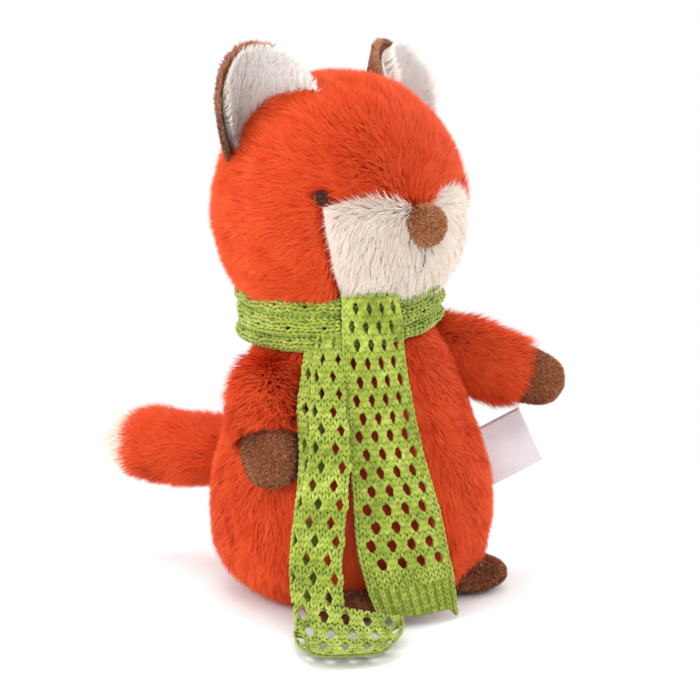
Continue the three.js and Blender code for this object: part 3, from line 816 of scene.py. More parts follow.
@dataclass
class Fleece:
    """Pile that grows from a surface, combed along a flow."""

    name: str
    surface: Surface
    pile: Pile
    flow: Callable[[Array], Array]
    material: bpy.types.Material
    seed: int
    keep: Callable[[Array, Array, Array], Array] | None = None
    press: Callable[[Array], Array] | None = None
    out: Callable[[Array], Array] | None = None
    grid: int = 160

    def roots(self, rng: np.random.Generator) -> tuple[Array, Array]:
        """Roots spread evenly over the area, and the surface's normals there.

        The surface is cut into cells, cells are drawn by their area, and a root is put
        anywhere in each. The normal is the cross product of the two ways across the
        surface, and points away from its middle.

        Args:
            rng: The generator of random draws.

        Returns:
            The roots and their normals.
        """
        edge = (np.arange(self.grid) + 0.5) / self.grid
        u, v = (part.ravel() for part in np.meshgrid(edge, edge, indexing="ij"))
        step = 0.5 / self.grid
        area = np.linalg.norm(self.crossing(u, v, step), axis=-1)
        total = area.sum()
        count = int(total * self.pile.per_mm2)
        chosen = rng.choice(len(u), count, p=area / total)
        shift = rng.uniform(-step, step, (2, count))
        u, v = u[chosen] + shift[0], v[chosen] + shift[1]
        place = self.surface(u, v)
        normal = unit(self.crossing(u, v, 1e-3))
        away = self.out(place) if self.out else place - place.mean(0)
        if np.einsum("ij,ij->i", away, normal).sum() < 0:
            normal = -normal
        kept = self.keep(place, u, v) if self.keep else np.ones(count, bool)
        return place[kept], normal[kept]

    def crossing(self, u: Array, v: Array, step: float) -> Array:
        """The cross product of the surface's spans over 2 `step` each way.

        Args:
            u: Shares round the surface.
            v: Shares along the surface.
            step: How far each span reaches, as a share.

        Returns:
            The crossed spans, not of unit length.
        """
        along = self.surface(u + step, v) - self.surface(u - step, v)
        across = self.surface(u, v + step) - self.surface(u, v - step)
        return np.cross(along, across)

    def strands(self, rng: np.random.Generator) -> tuple[Array, Array, Array]:
        """Each strand's five corners, its shading normal at each, and its tone.

        A strand starts out along the normal and lies over along the flow:
        middle = root + L/2 (stand n + (1 - stand) t), tip = middle + L/2 (lie n + (1 - lie) t),
        both then drawn towards the nearest tuft's middle, by less at the middle. It is shaded
        mostly by the skin's normal, as a fine hair in soft fur is, and a little by its own.

        Args:
            rng: The generator of random draws.

        Returns:
            Corners, shading normals and tones, one row for each strand.
        """
        pile = self.pile
        root, normal = self.roots(rng)
        comb = self.flow(root)
        lying = unit(comb - (comb * normal).sum(-1, keepdims=True) * normal)
        wander = pile.wander * ripple(root, WANDER_WAVE, self.seed)
        turn = np.radians(wander + rng.normal(0, pile.jitter, len(root)))
        lying = lying * np.cos(turn)[:, None] + np.cross(normal, lying) * np.sin(turn)[:, None]
        pressed = self.press(root) if self.press else np.ones(len(root))
        uneven = rng.uniform(*LENGTH_RANGE, len(root)) * (1 + 0.1 * ripple(root, LENGTH_WAVE, self.seed + 1))
        length = (pile.length * uneven)[:, None]
        stand, lie = (share * pressed[:, None] for share in (pile.stand, pile.lie))
        root = root - ROOT_DEPTH * normal
        middle = root + length / 2 * (stand * normal + np.sqrt(np.maximum(0, 1 - stand**2)) * lying)
        tip = middle + length / 2 * (lie * normal + np.sqrt(np.maximum(0, 1 - lie**2)) * lying)
        tuft = nearest_tuft(root + lying * pile.length * 0.5, pile.tuft, self.seed)
        draw = tuft - root - lying * length * 0.5
        draw -= (draw * normal).sum(-1, keepdims=True) * normal
        middle = middle + draw * pile.pull * 0.35
        tip = tip + draw * pile.pull
        ahead = unit(tip - root)
        flat = unit(np.cross(ahead, normal))
        roll = rng.uniform(-0.9, 0.9, len(root))[:, None]
        beside = flat * np.cos(roll) + np.cross(ahead, flat) * np.sin(roll)
        half = beside * pile.width / 2
        corners = np.stack([root - half, root + half, middle + half * 0.8, middle - half * 0.8, tip], 1)
        rise = unit(normal - (normal * ahead).sum(-1, keepdims=True) * ahead)
        shading = unit(normal * pile.skin + rise * (1 - pile.skin) + 0.25 * half / pile.width)
        tone = 0.5 + 0.2 * ripple(root, pile.mottle, self.seed + 2) + rng.normal(0, pile.speckle, len(root))
        return corners, np.repeat(shading, 5, axis=0).reshape(-1, 5, 3), np.clip(tone, 0.02, 0.98)

    def make(self) -> list[bpy.types.Object]:
        """Makes the strands, as pieces of no more than the most triangles each.

        A strand is a four-sided face from root to middle and a three-sided one to its tip.

        Returns:
            The pieces.
        """
        made = self.strands(np.random.default_rng(self.seed))
        batches = max(1, math.ceil(len(made[0]) * 3 / MOST_TRIANGLES))
        pieces = []
        parts = zip(*(np.array_split(share, batches) for share in made))
        for number, (part, shading, shade) in enumerate(parts):
            base = np.arange(len(part))[:, None] * 5
            loops = base + np.array([0, 1, 2, 3, 3, 2, 4])
            totals = np.tile([4, 3], len(part))
            left, right = (shade + side for side in (-0.01, 0.01))
            across = np.stack([left, right, right, left, left, right, shade], -1)
            along = np.broadcast_to([0.01, 0.01, 0.5, 0.5, 0.5, 0.5, 0.99], across.shape)
            uv = np.stack([across, along], -1).reshape(-1, 2)
            name = self.name if batches == 1 else f"{self.name}_{number + 1}"
            places, normals = part.reshape(-1, 3), shading.reshape(-1, 3)
            pieces.append(mesh_object(name, places, loops.ravel(), totals, self.material, uv, True, normals))
        log.info("%s: %d strands", self.name, len(made[0]))
        return pieces

    def grow(self, body: str, slot: Slot) -> None:
        """Makes the strands and ties them to a body."""
        for piece in self.make():
            settle(piece, body, slot)


def settle(piece: bpy.types.Object, body: str, slot: Slot, *nodes: str) -> None:
    """Ties a piece to its body, hides the CAD nodes that it stands for, and logs its size beside theirs.

    Args:
        piece: The piece.
        body: The body that carries it.
        slot: Not used.
        nodes: The CAD nodes that it stands for.
    """
    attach(piece, body)
    if nodes:
        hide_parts(*nodes)
        low, high = (Vector(corner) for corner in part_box(nodes[0]))
        mine = np.array([corner[:] for corner in piece.bound_box])
        log.info(
            "%s: %s mm, %s is %s mm", piece.name, np.round((mine.max(0) - mine.min(0)) / MM, 1), nodes[0],
            np.round(np.array(high - low) / MM, 1),
        )


def stuffed(
    name: str, rings: Array, material: bpy.types.Material, fill: float, body: str, slot: Slot, *nodes: str
) -> None:
    """Makes a closed piece from rings of its cloth, and ties it as settle does.

    Args:
        name: The piece's name.
        rings: Rings of its cloth, as an array of rings, points and 3.
        material: The piece's finish.
        fill: Not used.
        body: The body that carries it.
        slot: Its material slot.
        nodes: The CAD nodes that it stands for.
    """
    piece = closed_form(name, rings, material)
    settle(piece, body, slot, *nodes)


# Head


@dataclass
class Head:
    """The round head with its cream muzzle."""

    wardrobe: Wardrobe
    radius: float = 50
    depth: float = 47.5
    half_height: float = 52
    centre: Array = field(default_factory=lambda: np.array([0.0, 7.0, 155.0]))
    cloth_lines: tuple[int, int] = (64, 96)
    muzzle_rise: float = 4.5
    muzzle_width: float = 28
    muzzle_height: float = 21
    muzzle_drop: float = 13
    muzzle_thick: float = 1.4
    inset: float = 3.2
    pile: Pile = Pile(length=8.6, width=0.34, per_mm2=5.6)
    muzzle_pile: Pile = Pile(
        length=8.2, width=0.36, per_mm2=7.5, stand=0.85, lie=0.4, tuft=2.6, pull=0.25, wander=14, jitter=14,
        skin=0.55,
    )
    top: Array = field(default_factory=lambda: np.array([
        [0, 0.03], [0.14, 0.135], [0.33, 0.19], [0.52, 0.17], [0.68, 0.115],
    ]))
    flank: Array = field(default_factory=lambda: np.array([
        [0, -0.9], [0.26, -0.82], [0.43, -0.62], [0.575, -0.38], [0.655, -0.12], [0.68, 0.115],
    ]))
    eye_azimuth: float = 47
    eye_lift: float = 11
    eye_radius: float = 3.1
    eye_margin: float = 0.2
    strand_steps: tuple[float, ...] = (0.0, 2.2, 4.4)
    strand_reach: float = 3.4
    neck: float = 126
    cream_neck: float = 125
    neck_tilt: float = 3
    brush_from: tuple[float, float, float] = (0, -46, 152)
    muzzle_from: tuple[float, float, float] = (0, -50, 150)
    hang_heights: tuple[float, float] = (153, 163)

    def swell(self, place: Array) -> Array:
        """Pushes the lower front out by rise exp(-(x/width)^2 - ((z + drop)/height)^2).

        Places are from the head's centre.

        Args:
            place: Places in millimetres.

        Returns:
            The places, swelled out.
        """
        across = place[..., 0] / self.muzzle_width
        along = (place[..., 2] + self.muzzle_drop) / self.muzzle_height
        push = self.muzzle_rise * np.exp(-(across**2) - along**2) * (place[..., 1] < 0)
        return place - push[..., None] * np.array([0, 1, 0])

    def on(self, azimuth: Array | float, lift: Array | float, out: float) -> Array:
        """A place on the head at an azimuth and a lift in degrees, moved outwards.

        Args:
            azimuth: Degrees round from the front.
            lift: Degrees up.
            out: Millimetres outwards.

        Returns:
            Places in millimetres.
        """
        level = np.cos(np.radians(lift))
        reach = np.array([self.radius + out, self.depth + out, 0])
        place = radial(azimuth) * reach * np.asarray(level)[..., None]
        place = place + (np.sin(np.radians(lift)) * (self.half_height + out))[..., None] * UP
        return self.swell(place) + self.centre

    def surface(self, u: Array, v: Array) -> Array:
        """The cloth as an egg about the centre, less the inset."""
        return self.on(360 * u, 180 * v - 90, -self.inset)

    def underside(self, x: Array, y: Array) -> Array:
        """How high the head's underside is over x and y: z - h sqrt(1 - (x/r)^2 - (y/d)^2)."""
        left = 1 - (x / self.radius) ** 2 - ((y - self.centre[1]) / self.depth) ** 2
        return np.where(left > 0, self.centre[2] - self.half_height * np.sqrt(np.maximum(left, 0)), 1e3)

    def eye(self, side: Side, out: float) -> Array:
        """The middle of an eye, moved outwards."""
        return self.on(side.value * self.eye_azimuth, np.asarray(float(self.eye_lift)), out)

    def outline(self, side: Side) -> Array:
        """The mask's outline on one side, in millimetres from the head's centre, seen from the front.

        Args:
            side: The side that it is on.

        Returns:
            The outline's corners.
        """
        share = np.linspace(0, 1, 24)
        loop = np.vstack([spline(self.top, share), spline(self.flank, share)[::-1]])
        return loop * np.array([-side.value * self.radius, self.half_height])

    def in_mask(self, place: Array) -> Array:
        """Whether places on the head lie in the cream mask.

        Args:
            place: Places in millimetres.

        Returns:
            Whether each place is in the mask.
        """
        near = place - self.centre
        inside = [inside_outline(near[:, 0], near[:, 2], self.outline(side)) for side in Side]
        return (inside[0] | inside[1]) & (near[:, 1] < 0)

    def front(self, x: Array, z: Array, out: float) -> Array:
        """The head's front at x and z from its centre: y = -depth sqrt(1 - (x/r)^2 - (z/h)^2), swelled.

        Args:
            x: Millimetres to the fox's left.
            z: Millimetres up.
            out: Millimetres outwards.

        Returns:
            Places in millimetres.
        """
        left = 1 - (x / (self.radius + out)) ** 2 - (z / (self.half_height + out)) ** 2
        y = -(self.depth + out) * np.sqrt(np.maximum(left, 0))
        return self.swell(np.stack([x, y, z], -1)) + self.centre

    def mask(self, side: Side) -> Surface:
        """One half of the mask as a surface: q runs from its top edge to its flank.

        Args:
            side: The side that it is on.

        Returns:
            The surface: p along the mask and q from its top to its flank.
        """

        def place(p: Array, q: Array) -> Array:
            """A place on the mask, between its top edge and its flank.

            Args:
                p: Shares along the mask.
                q: Shares from its top edge to its flank.

            Returns:
                Places in millimetres.
            """
            flat = spline(self.top, p) * (1 - q)[..., None] + spline(self.flank, p) * q[..., None]
            x = -side.value * (0.15 + flat[..., 0] * (self.radius - 0.15))
            return self.front(x, np.maximum(flat[..., 1], -0.93) * self.half_height, 0.5 - self.inset)

        return place

    def seen(self, place: Array, u: Array, v: Array) -> Array:
        """Orange pile grows outside the mask and the neck, and where it doesn't fall over the eyes.

        Args:
            place: Places in millimetres.
            u: Shares round the surface.
            v: Shares along the surface.

        Returns:
            Whether each root is kept.
        """
        neck = self.neck - self.neck_tilt * towards_right(place)
        outside = ~self.in_mask(place) & (place[:, 2] > neck)
        return outside & self.clear_of_eyes(place, unit(self.flow(place)))

    def seen_cream(self, place: Array, u: Array, v: Array) -> Array:
        """Cream pile grows above the neck, and where it doesn't fall over the eyes or out of the mask.

        Args:
            place: Places in millimetres.
            u: Shares round the surface.
            v: Shares along the surface.

        Returns:
            Whether each root is kept.
        """
        comb = unit(self.muzzle_flow(place))
        neck = self.cream_neck - self.neck_tilt * towards_right(place)
        within = self.in_mask(place + self.strand_reach * comb) & (place[:, 2] > neck)
        return within & self.clear_of_eyes(place, comb)

    def clear_of_eyes(self, place: Array, comb: Array) -> Array:
        """Whether strands that lie along the comb from these roots miss both eyes.

        Args:
            place: The strands' roots.
            comb: The directions that they lie in.

        Returns:
            Whether each strand is clear.
        """
        kept = np.ones(len(place), bool)
        for side in Side:
            middle = self.eye(side, -self.inset)
            for step in self.strand_steps:
                kept &= np.linalg.norm(place + comb * step - middle, axis=1) > self.eye_radius - self.eye_margin
        return kept

    def flow(self, place: Array) -> Array:
        """Pile is brushed away from the muzzle and a little down."""
        return unit(place - np.array(self.brush_from)) + np.array([0, 0, -0.3])

    def muzzle_flow(self, place: Array) -> Array:
        """The muzzle's pile spreads from the nose, and below it hangs."""
        hang = 0.75 * (1 - smooth(place[:, 2], *self.hang_heights))
        return 0.4 * unit(place - np.array(self.muzzle_from)) - hang[:, None] * UP

    def make(self) -> None:
        """Makes the head's cloth, the two muzzle halves and their pile."""
        rings = rings_of(self.surface, 0.01, 0.99, *self.cloth_lines)
        nodes = ("head_skin", "head_stuffing")
        stuffed("head_cloth", rings, self.wardrobe.orange_backing, 0.9, "torso", Slot.ORANGE, *nodes)
        Fleece(
            "head_pile", self.surface, self.pile, self.flow, self.wardrobe.orange_pile, Seed.HEAD, self.seen
        ).grow("torso", Slot.ORANGE)
        for side in Side:
            self.make_muzzle(side)

    def make_muzzle(self, side: Side) -> None:
        """One half of the muzzle: a closed pad of cloth, front and back, and its pile.

        Args:
            side: The side that it is on.
        """
        around = round_steps(96)
        reach = np.linspace(0.05, 1, 20)[:, None]
        p = 0.5 + 0.5 * reach * np.clip(1.3 * np.cos(around), -1, 1)
        q = 0.5 + 0.5 * reach * np.clip(1.3 * np.sin(around), -1, 1)
        face = self.mask(side)(p, q)
        behind = face + np.array([0, self.muzzle_thick, 0])
        stuffed(
            f"muzzle_{side.word}_cloth", np.concatenate([face, behind[::-1]]), self.wardrobe.cream_backing, 0.7,
            "torso", Slot.CREAM, f"muzzle_{side.word}",
        )
        Fleece(
            f"muzzle_{side.word}_pile", self.mask(side), self.muzzle_pile, self.muzzle_flow,
            self.wardrobe.cream_pile, Seed.MUZZLE + side.value, self.seen_cream,
            out=lambda place: place - self.centre,
        ).grow("torso", Slot.CREAM)


# Body


@dataclass
class Body:
    """The round sitting body: cloth, base panel and pile. The head sits in a hollow in its top."""

    wardrobe: Wardrobe
    head: Head
    height: float = 128
    radius: float = 55
    base_radius: float = 27
    inset: float = 3.2
    cloth_lines: tuple[int, int] = (72, 128)
    neck: float = 107.5
    neck_tilt: float = 4
    lowest_pile: float = 4
    panels_from: tuple[float, float] = (-10, 2)
    panels_to: tuple[float, float] = (66, 76)
    panel_press: float = 0.42
    floor_press: float = 0.55
    floor_heights: tuple[float, float] = (3, 20)
    pile: Pile = Pile(length=8.4, width=0.36, per_mm2=5.0)
    shares: Array = field(default_factory=lambda: np.array([
        [0, 0.62], [0.05, 0.82], [0.12, 0.945], [0.235, 1], [0.35, 0.985], [0.47, 0.925],
        [0.59, 0.835], [0.7, 0.745], [0.77, 0.665], [0.83, 0.57], [0.9, 0.465], [0.96, 0.4], [1, 0.3],
    ]))

    def radius_at(self, height: Array) -> Array:
        """The body's radius at heights in millimetres, straight between the outline's knots."""
        return self.radius * np.interp(height / self.height, self.shares[:, 0], self.shares[:, 1])

    def on(self, height_share: float, azimuth: Array | float, out: float) -> Array:
        """A place on the body, moved outwards."""
        reach = self.radius_at(np.asarray(height_share * self.height)) + out
        return radial(azimuth) * reach + UP * height_share * self.height

    def surface(self, u: Array, v: Array) -> Array:
        """The cloth: the outline less the inset, turned about Z, a little uneven, and under the head.

        Args:
            u: Shares round the surface.
            v: Shares along the surface.

        Returns:
            Places in millimetres.
        """
        outline = spline(self.shares, v)
        reach = outline[..., 1] * self.radius - self.inset
        place = radial(360 * u) * reach[..., None] + (outline[..., 0] * self.height)[..., None] * UP
        place = place + radial(360 * u) * (0.7 * ripple(place, 46, 3))[..., None] + UP * 0.4
        under = self.head.underside(place[..., 0], place[..., 1]) - 0.8
        return np.concatenate([place[..., :2], np.minimum(place[..., 2], under)[..., None]], -1)

    def seen(self, place: Array, u: Array, v: Array) -> Array:
        """Pile grows where neither the neck nor the floor hides it."""
        neck = self.neck - self.neck_tilt * towards_right(place)
        return (place[:, 2] < neck) & (place[:, 2] > self.lowest_pile)

    def press(self, place: Array) -> Array:
        """How far the pile stands up: the scarf's hanging panels and the floor press it down.

        Args:
            place: Places in millimetres.

        Returns:
            The share of its height that the pile keeps at each place.
        """
        azimuth = np.degrees(np.arctan2(-place[:, 0], -place[:, 1]))
        under = smooth(azimuth, *self.panels_from) * (1 - smooth(azimuth, *self.panels_to))
        return 1 - self.panel_press * under - self.floor_press * (1 - smooth(place[:, 2], *self.floor_heights))

    def make(self) -> None:
        """Makes the cloth, the base panel and the pile."""
        # The backing's darker orange is painted shade of the pile's depth.
        backing = self.wardrobe.orange_backing
        nodes = ("body_skin", "body_stuffing", "pellet_pouch")
        rings = rings_of(self.surface, 0, 1, *self.cloth_lines)
        stuffed("body_cloth", rings, backing, 0.8, "torso", Slot.ORANGE, *nodes)
        share = np.array([0.3, 0.9, 1.0, 1.0, 0.9, 0.3])[:, None, None]
        lift = np.array([0.0, 0.0, 0.05, 0.2, 0.25, 0.25])[:, None, None]
        around = radial(360 * np.arange(72) / 72)[None]
        panel = around * share * self.base_radius + UP * lift
        stuffed("base_cloth", panel, backing, 0.4, "torso", Slot.ORANGE, "base_panel")
        Fleece(
            "body_pile", self.surface, self.pile, lambda place: 0.12 * unit(place) - UP, self.wardrobe.orange_pile,
            Seed.BODY, self.seen, self.press,
        ).grow("torso", Slot.ORANGE)


# Face


@dataclass
class Face:
    """The felted nose, the stitched mouth and the embroidered eyes."""

    wardrobe: Wardrobe
    head: Head
    nose_radius: float = 7.8
    nose_out: float = 0.2
    nose_lift: float = -2
    thread: float = 0.42
    mouth_span: tuple[float, float] = (-9.5, -20.5)
    eye_turns: float = 3.4
    nap: Pile = Pile(
        length=2.0, width=0.42, per_mm2=9, stand=0.9, lie=0.7, tuft=1.7, pull=0.5, wander=90, jitter=60,
        skin=0.1, speckle=0.3, mottle=2.4,
    )

    def nose_surface(self, u: Array, v: Array) -> Array:
        """A ball, wider by 2%, 6% flatter from front to back, and 2% less high under its middle.

        Args:
            u: Shares round the surface.
            v: Shares along the surface.

        Returns:
            Places in millimetres.
        """
        lift = math.pi * (v - 0.5)
        size = self.nose_radius
        flat = radial(360 * u) * np.cos(lift)[..., None] * np.array([1.02, 0.94, 0])
        place = (flat + np.sin(lift)[..., None] * UP * np.where(lift < 0, 0.98, 1.0)[..., None]) * size
        return place + self.head.on(0.0, np.asarray(float(self.nose_lift)), self.nose_out)

    def make(self) -> None:
        """Makes the nose, the mouth's thread and both eyes."""
        rings = rings_of(self.nose_surface, 0.02, 0.98, 30, 48)
        stuffed("nose_pad", rings, self.wardrobe.nose_cloth, 1.0, "torso", Slot.NOSE, "nose")
        Fleece(
            "nose_nap", self.nose_surface, self.nap,
            lambda place: unit(place - place.mean(0)) + np.array([0.3, 0, -0.6]),
            self.wardrobe.nose_nap, Seed.NOSE,
        ).grow("torso", Slot.NOSE)
        drop = np.linspace(*self.mouth_span, 40)
        line = self.head.front(np.full(40, 0.0), drop, 0.9)
        line = line + np.stack([0.12 * np.sin(drop * 0.6), 0.15 * np.sin(drop * 0.9), 0 * drop], -1)
        forward = np.array([0, -1.0, 0])
        mouth = thread("mouth_thread", line, forward, self.thread * 0.7, np.full(40, 0.4), self.wardrobe.thread)
        settle(mouth, "torso", Slot.THREAD, "mouth_stitch")
        for side in Side:
            self.make_eye(side)

    def make_eye(self, side: Side) -> None:
        """An eye: a spiral of thread over a small dome, with a dark bed under it.

        Args:
            side: The side that it is on.
        """
        middle = self.head.eye(side, 0.5)
        radius = self.head.eye_radius
        ahead = unit(middle - self.head.centre)
        across = unit(np.cross(UP, ahead))
        over = np.cross(ahead, across)
        turn = np.linspace(0, self.eye_turns * 2 * math.pi, 150)
        reach = 0.15 + (radius - self.thread - 0.15) * turn / turn[-1]
        rise = 0.75 * (1 - (reach / radius) ** 2)
        path = middle + reach[:, None] * circle(turn, across, over) + (rise - 0.55)[:, None] * ahead
        tone = 0.4 + 0.3 * np.sin(turn * 1.7)
        spiral = thread(f"eye_{side.word}_thread", path, ahead, self.thread * 1.12, tone, self.wardrobe.thread)
        settle(spiral, "torso", Slot.THREAD, f"eye_{side.word}")
        disc = circle(round_steps(40), across, over)
        reach = np.array([0.4, 1.0, 1.03, 0.9, 0.6, 0.3])[:, None, None] * (radius - 0.2)
        lift = np.array([-3.0, -3.0, -1.2, -0.7, -0.35, -0.2])[:, None, None]
        rings = middle + disc * reach + ahead * lift
        bed = closed_form(f"eye_{side.word}_bed", rings, self.wardrobe.brown_cloth)
        settle(bed, "torso", Slot.THREAD)


# Ears


@dataclass
class Ear:
    """An ear: a brown napped back and a cream lining, both cupped to the front."""

    wardrobe: Wardrobe
    head: Head
    side: Side
    half_width: float = 19
    half_height: float = 26
    spread: float = 0.15
    cup: float = 19
    cup_taper: float = 0.5
    back: float = 3.5
    lining: float = 2.2
    lining_share: float = 0.93
    lining_shift: float = -1.4
    lining_flare: float = 0.2
    turn: float = 20
    lean: float = 4
    pitch: float = 13
    sideways: float = 30.6
    behind: float = 16
    above: float = 39.2
    left_drop: float = 3
    gap: float = 0.9
    pile: Pile = Pile(
        length=8.0, width=0.36, per_mm2=7.5, stand=0.7, lie=0.42, tuft=2.4, pull=0.35, wander=20, skin=0.6,
        speckle=0.3,
    )
    nap: Pile = Pile(
        length=2.8, width=0.34, per_mm2=6.5, stand=0.7, lie=0.35, tuft=1.8, pull=0.35, wander=25, jitter=25,
        skin=0.4, speckle=0.24, mottle=3.4,
    )

    def placed(
        self, across: Array, along: Array, through: Array, shift: float = 0.0, flare: float = 0.0
    ) -> Array:
        """A place on the ear.

        The ear widens by spread and flare times the share along. It is cupped by
        cup (1 - taper along) times the square of the share across, pitched about X, leaned
        about Y, turned about Z, and carried to its seam on the head.

        Args:
            across: The share of the half width.
            along: The share of the half height.
            through: Millimetres to the front.
            shift: Millimetres away from the middle of the head.
            flare: How much wider than the back it grows.

        Returns:
            Places in millimetres.
        """
        sign = self.side.value
        x = across * (1 + (self.spread + flare) * along) * self.half_width - sign * shift
        y = -(through + self.cup * (1 - self.cup_taper * along) * (x / self.half_width) ** 2)
        z = along * self.half_height
        y, z = rotated(y, z, self.pitch)
        z, x = rotated(z, x, -sign * self.lean)
        x, y = rotated(x, y, -sign * self.turn)
        drop = self.left_drop if self.side is Side.LEFT else 0
        seam = self.head.centre + [-sign * self.sideways, self.behind, self.above - drop]
        return np.stack([x, y, z], -1) + seam

    def pad(self, low: float, high: float, share: float, shift: float = 0.0, flare: float = 0.0) -> Array:
        """A closed pad between two depths: the reach is cos^0.5 and the depth sin of one angle.

        Args:
            low: The depth of its back.
            high: The depth of its front.
            share: Its share of the ear's size.
            shift: Millimetres away from the middle of the head.
            flare: How much wider than the back it grows.

        Returns:
            The rings' places.
        """
        angle = np.linspace(-math.pi / 2 + 0.06, math.pi / 2 - 0.06, 26)[:, None]
        around = round_steps(96)[None]
        reach = np.cos(angle) ** 0.5 * share
        through = (low + high) / 2 + (high - low) / 2 * np.sin(angle) + 0 * around
        return self.placed(reach * np.cos(around), reach * np.sin(around), through, shift, flare)

    def disc(self, through: float, share: float, shift: float = 0.0, flare: float = 0.0) -> Surface:
        """One face of the ear: v is the reach from its middle.

        Args:
            through: Millimetres to the ear's front.
            share: Its share of the ear's size.
            shift: Millimetres away from the middle of the head.
            flare: How much wider than the back it grows.

        Returns:
            The face's surface.
        """

        def place(u: Array, v: Array) -> Array:
            """A place on the face, at a share of its reach.

            Args:
                u: Shares round the ear.
                v: Shares of the reach from its middle.

            Returns:
                Places in millimetres.
            """
            reach = np.clip(v, 0, 1) * share
            angle = 2 * math.pi * u
            return self.placed(reach * np.cos(angle), reach * np.sin(angle), through + 0 * u, shift, flare)

        return place

    def outside(self, place: Array, u: Array, v: Array) -> Array:
        """Whether places are outside the head."""
        near = (place - self.head.centre) / np.array([self.head.radius, self.head.depth, self.head.half_height])
        return (near**2).sum(-1) > 0.97

    def make(self) -> None:
        """Makes the back, the lining and their pile."""
        word = self.side.word
        sign = self.side.value
        middle, front, root = (
            self.placed(np.array(0.0), np.array(along), np.array(through))
            for along, through in ((0.0, 0.0), (0.0, 9.0), (-1.0, 0.0))
        )
        facing = front - middle
        lining = (self.lining_share, self.lining_shift, self.lining_flare)
        stuffed(
            f"ear_{word}_back_cloth", self.pad(-self.back, 0, 1), self.wardrobe.brown_cloth, 0.5,
            "torso", Slot.BROWN, f"ear_{word}_back",
        )
        stuffed(
            f"ear_{word}_lining_cloth", self.pad(self.gap, self.gap + self.lining * 0.7, *lining),
            self.wardrobe.cream_backing, 0.5, "torso", Slot.CREAM, f"ear_{word}_lining",
        )

        def upwards(place: Array) -> Array:
            """The pile lies away from the ear's root."""
            return unit(place - root)

        Fleece(
            f"ear_{word}_back_nap", self.disc(-self.back + 0.3, 0.99), self.nap, upwards, self.wardrobe.ear_nap,
            Seed.EAR_BACK + sign, self.outside, out=lambda place: np.broadcast_to(-facing, place.shape),
        ).grow("torso", Slot.BROWN)
        Fleece(
            f"ear_{word}_rim_nap", self.rim(), self.nap, lambda place: upwards(place) - facing * 0.02,
            self.wardrobe.ear_nap, Seed.EAR_RIM + sign, self.outside,
        ).grow("torso", Slot.BROWN)
        # The lining pile's brighter cream is partly its own colour and partly painted light against the cup's
        # shade.
        Fleece(
            f"ear_{word}_lining_pile", self.disc(self.gap + self.lining * 0.55, *lining), self.pile, upwards,
            self.wardrobe.lining_pile, Seed.EAR_LINING + sign, self.outside,
            out=lambda place: np.broadcast_to(facing, place.shape),
        ).grow("torso", Slot.CREAM)

    def rim(self) -> Surface:
        """The edge between the ear's two faces: v goes from the back to the front.

        Returns:
            The edge's surface.
        """

        def place(u: Array, v: Array) -> Array:
            """A place on the edge.

            Args:
                u: Shares round the ear.
                v: Shares of the way from the back to the front.

            Returns:
                Places in millimetres.
            """
            reach = 0.98 + 0.02 * np.sin(math.pi * np.clip(v, 0, 1))
            through = -self.back + (self.back + 0.2) * v
            return self.placed(reach * np.cos(2 * math.pi * u), reach * np.sin(2 * math.pi * u), through)

        return place


# Limbs


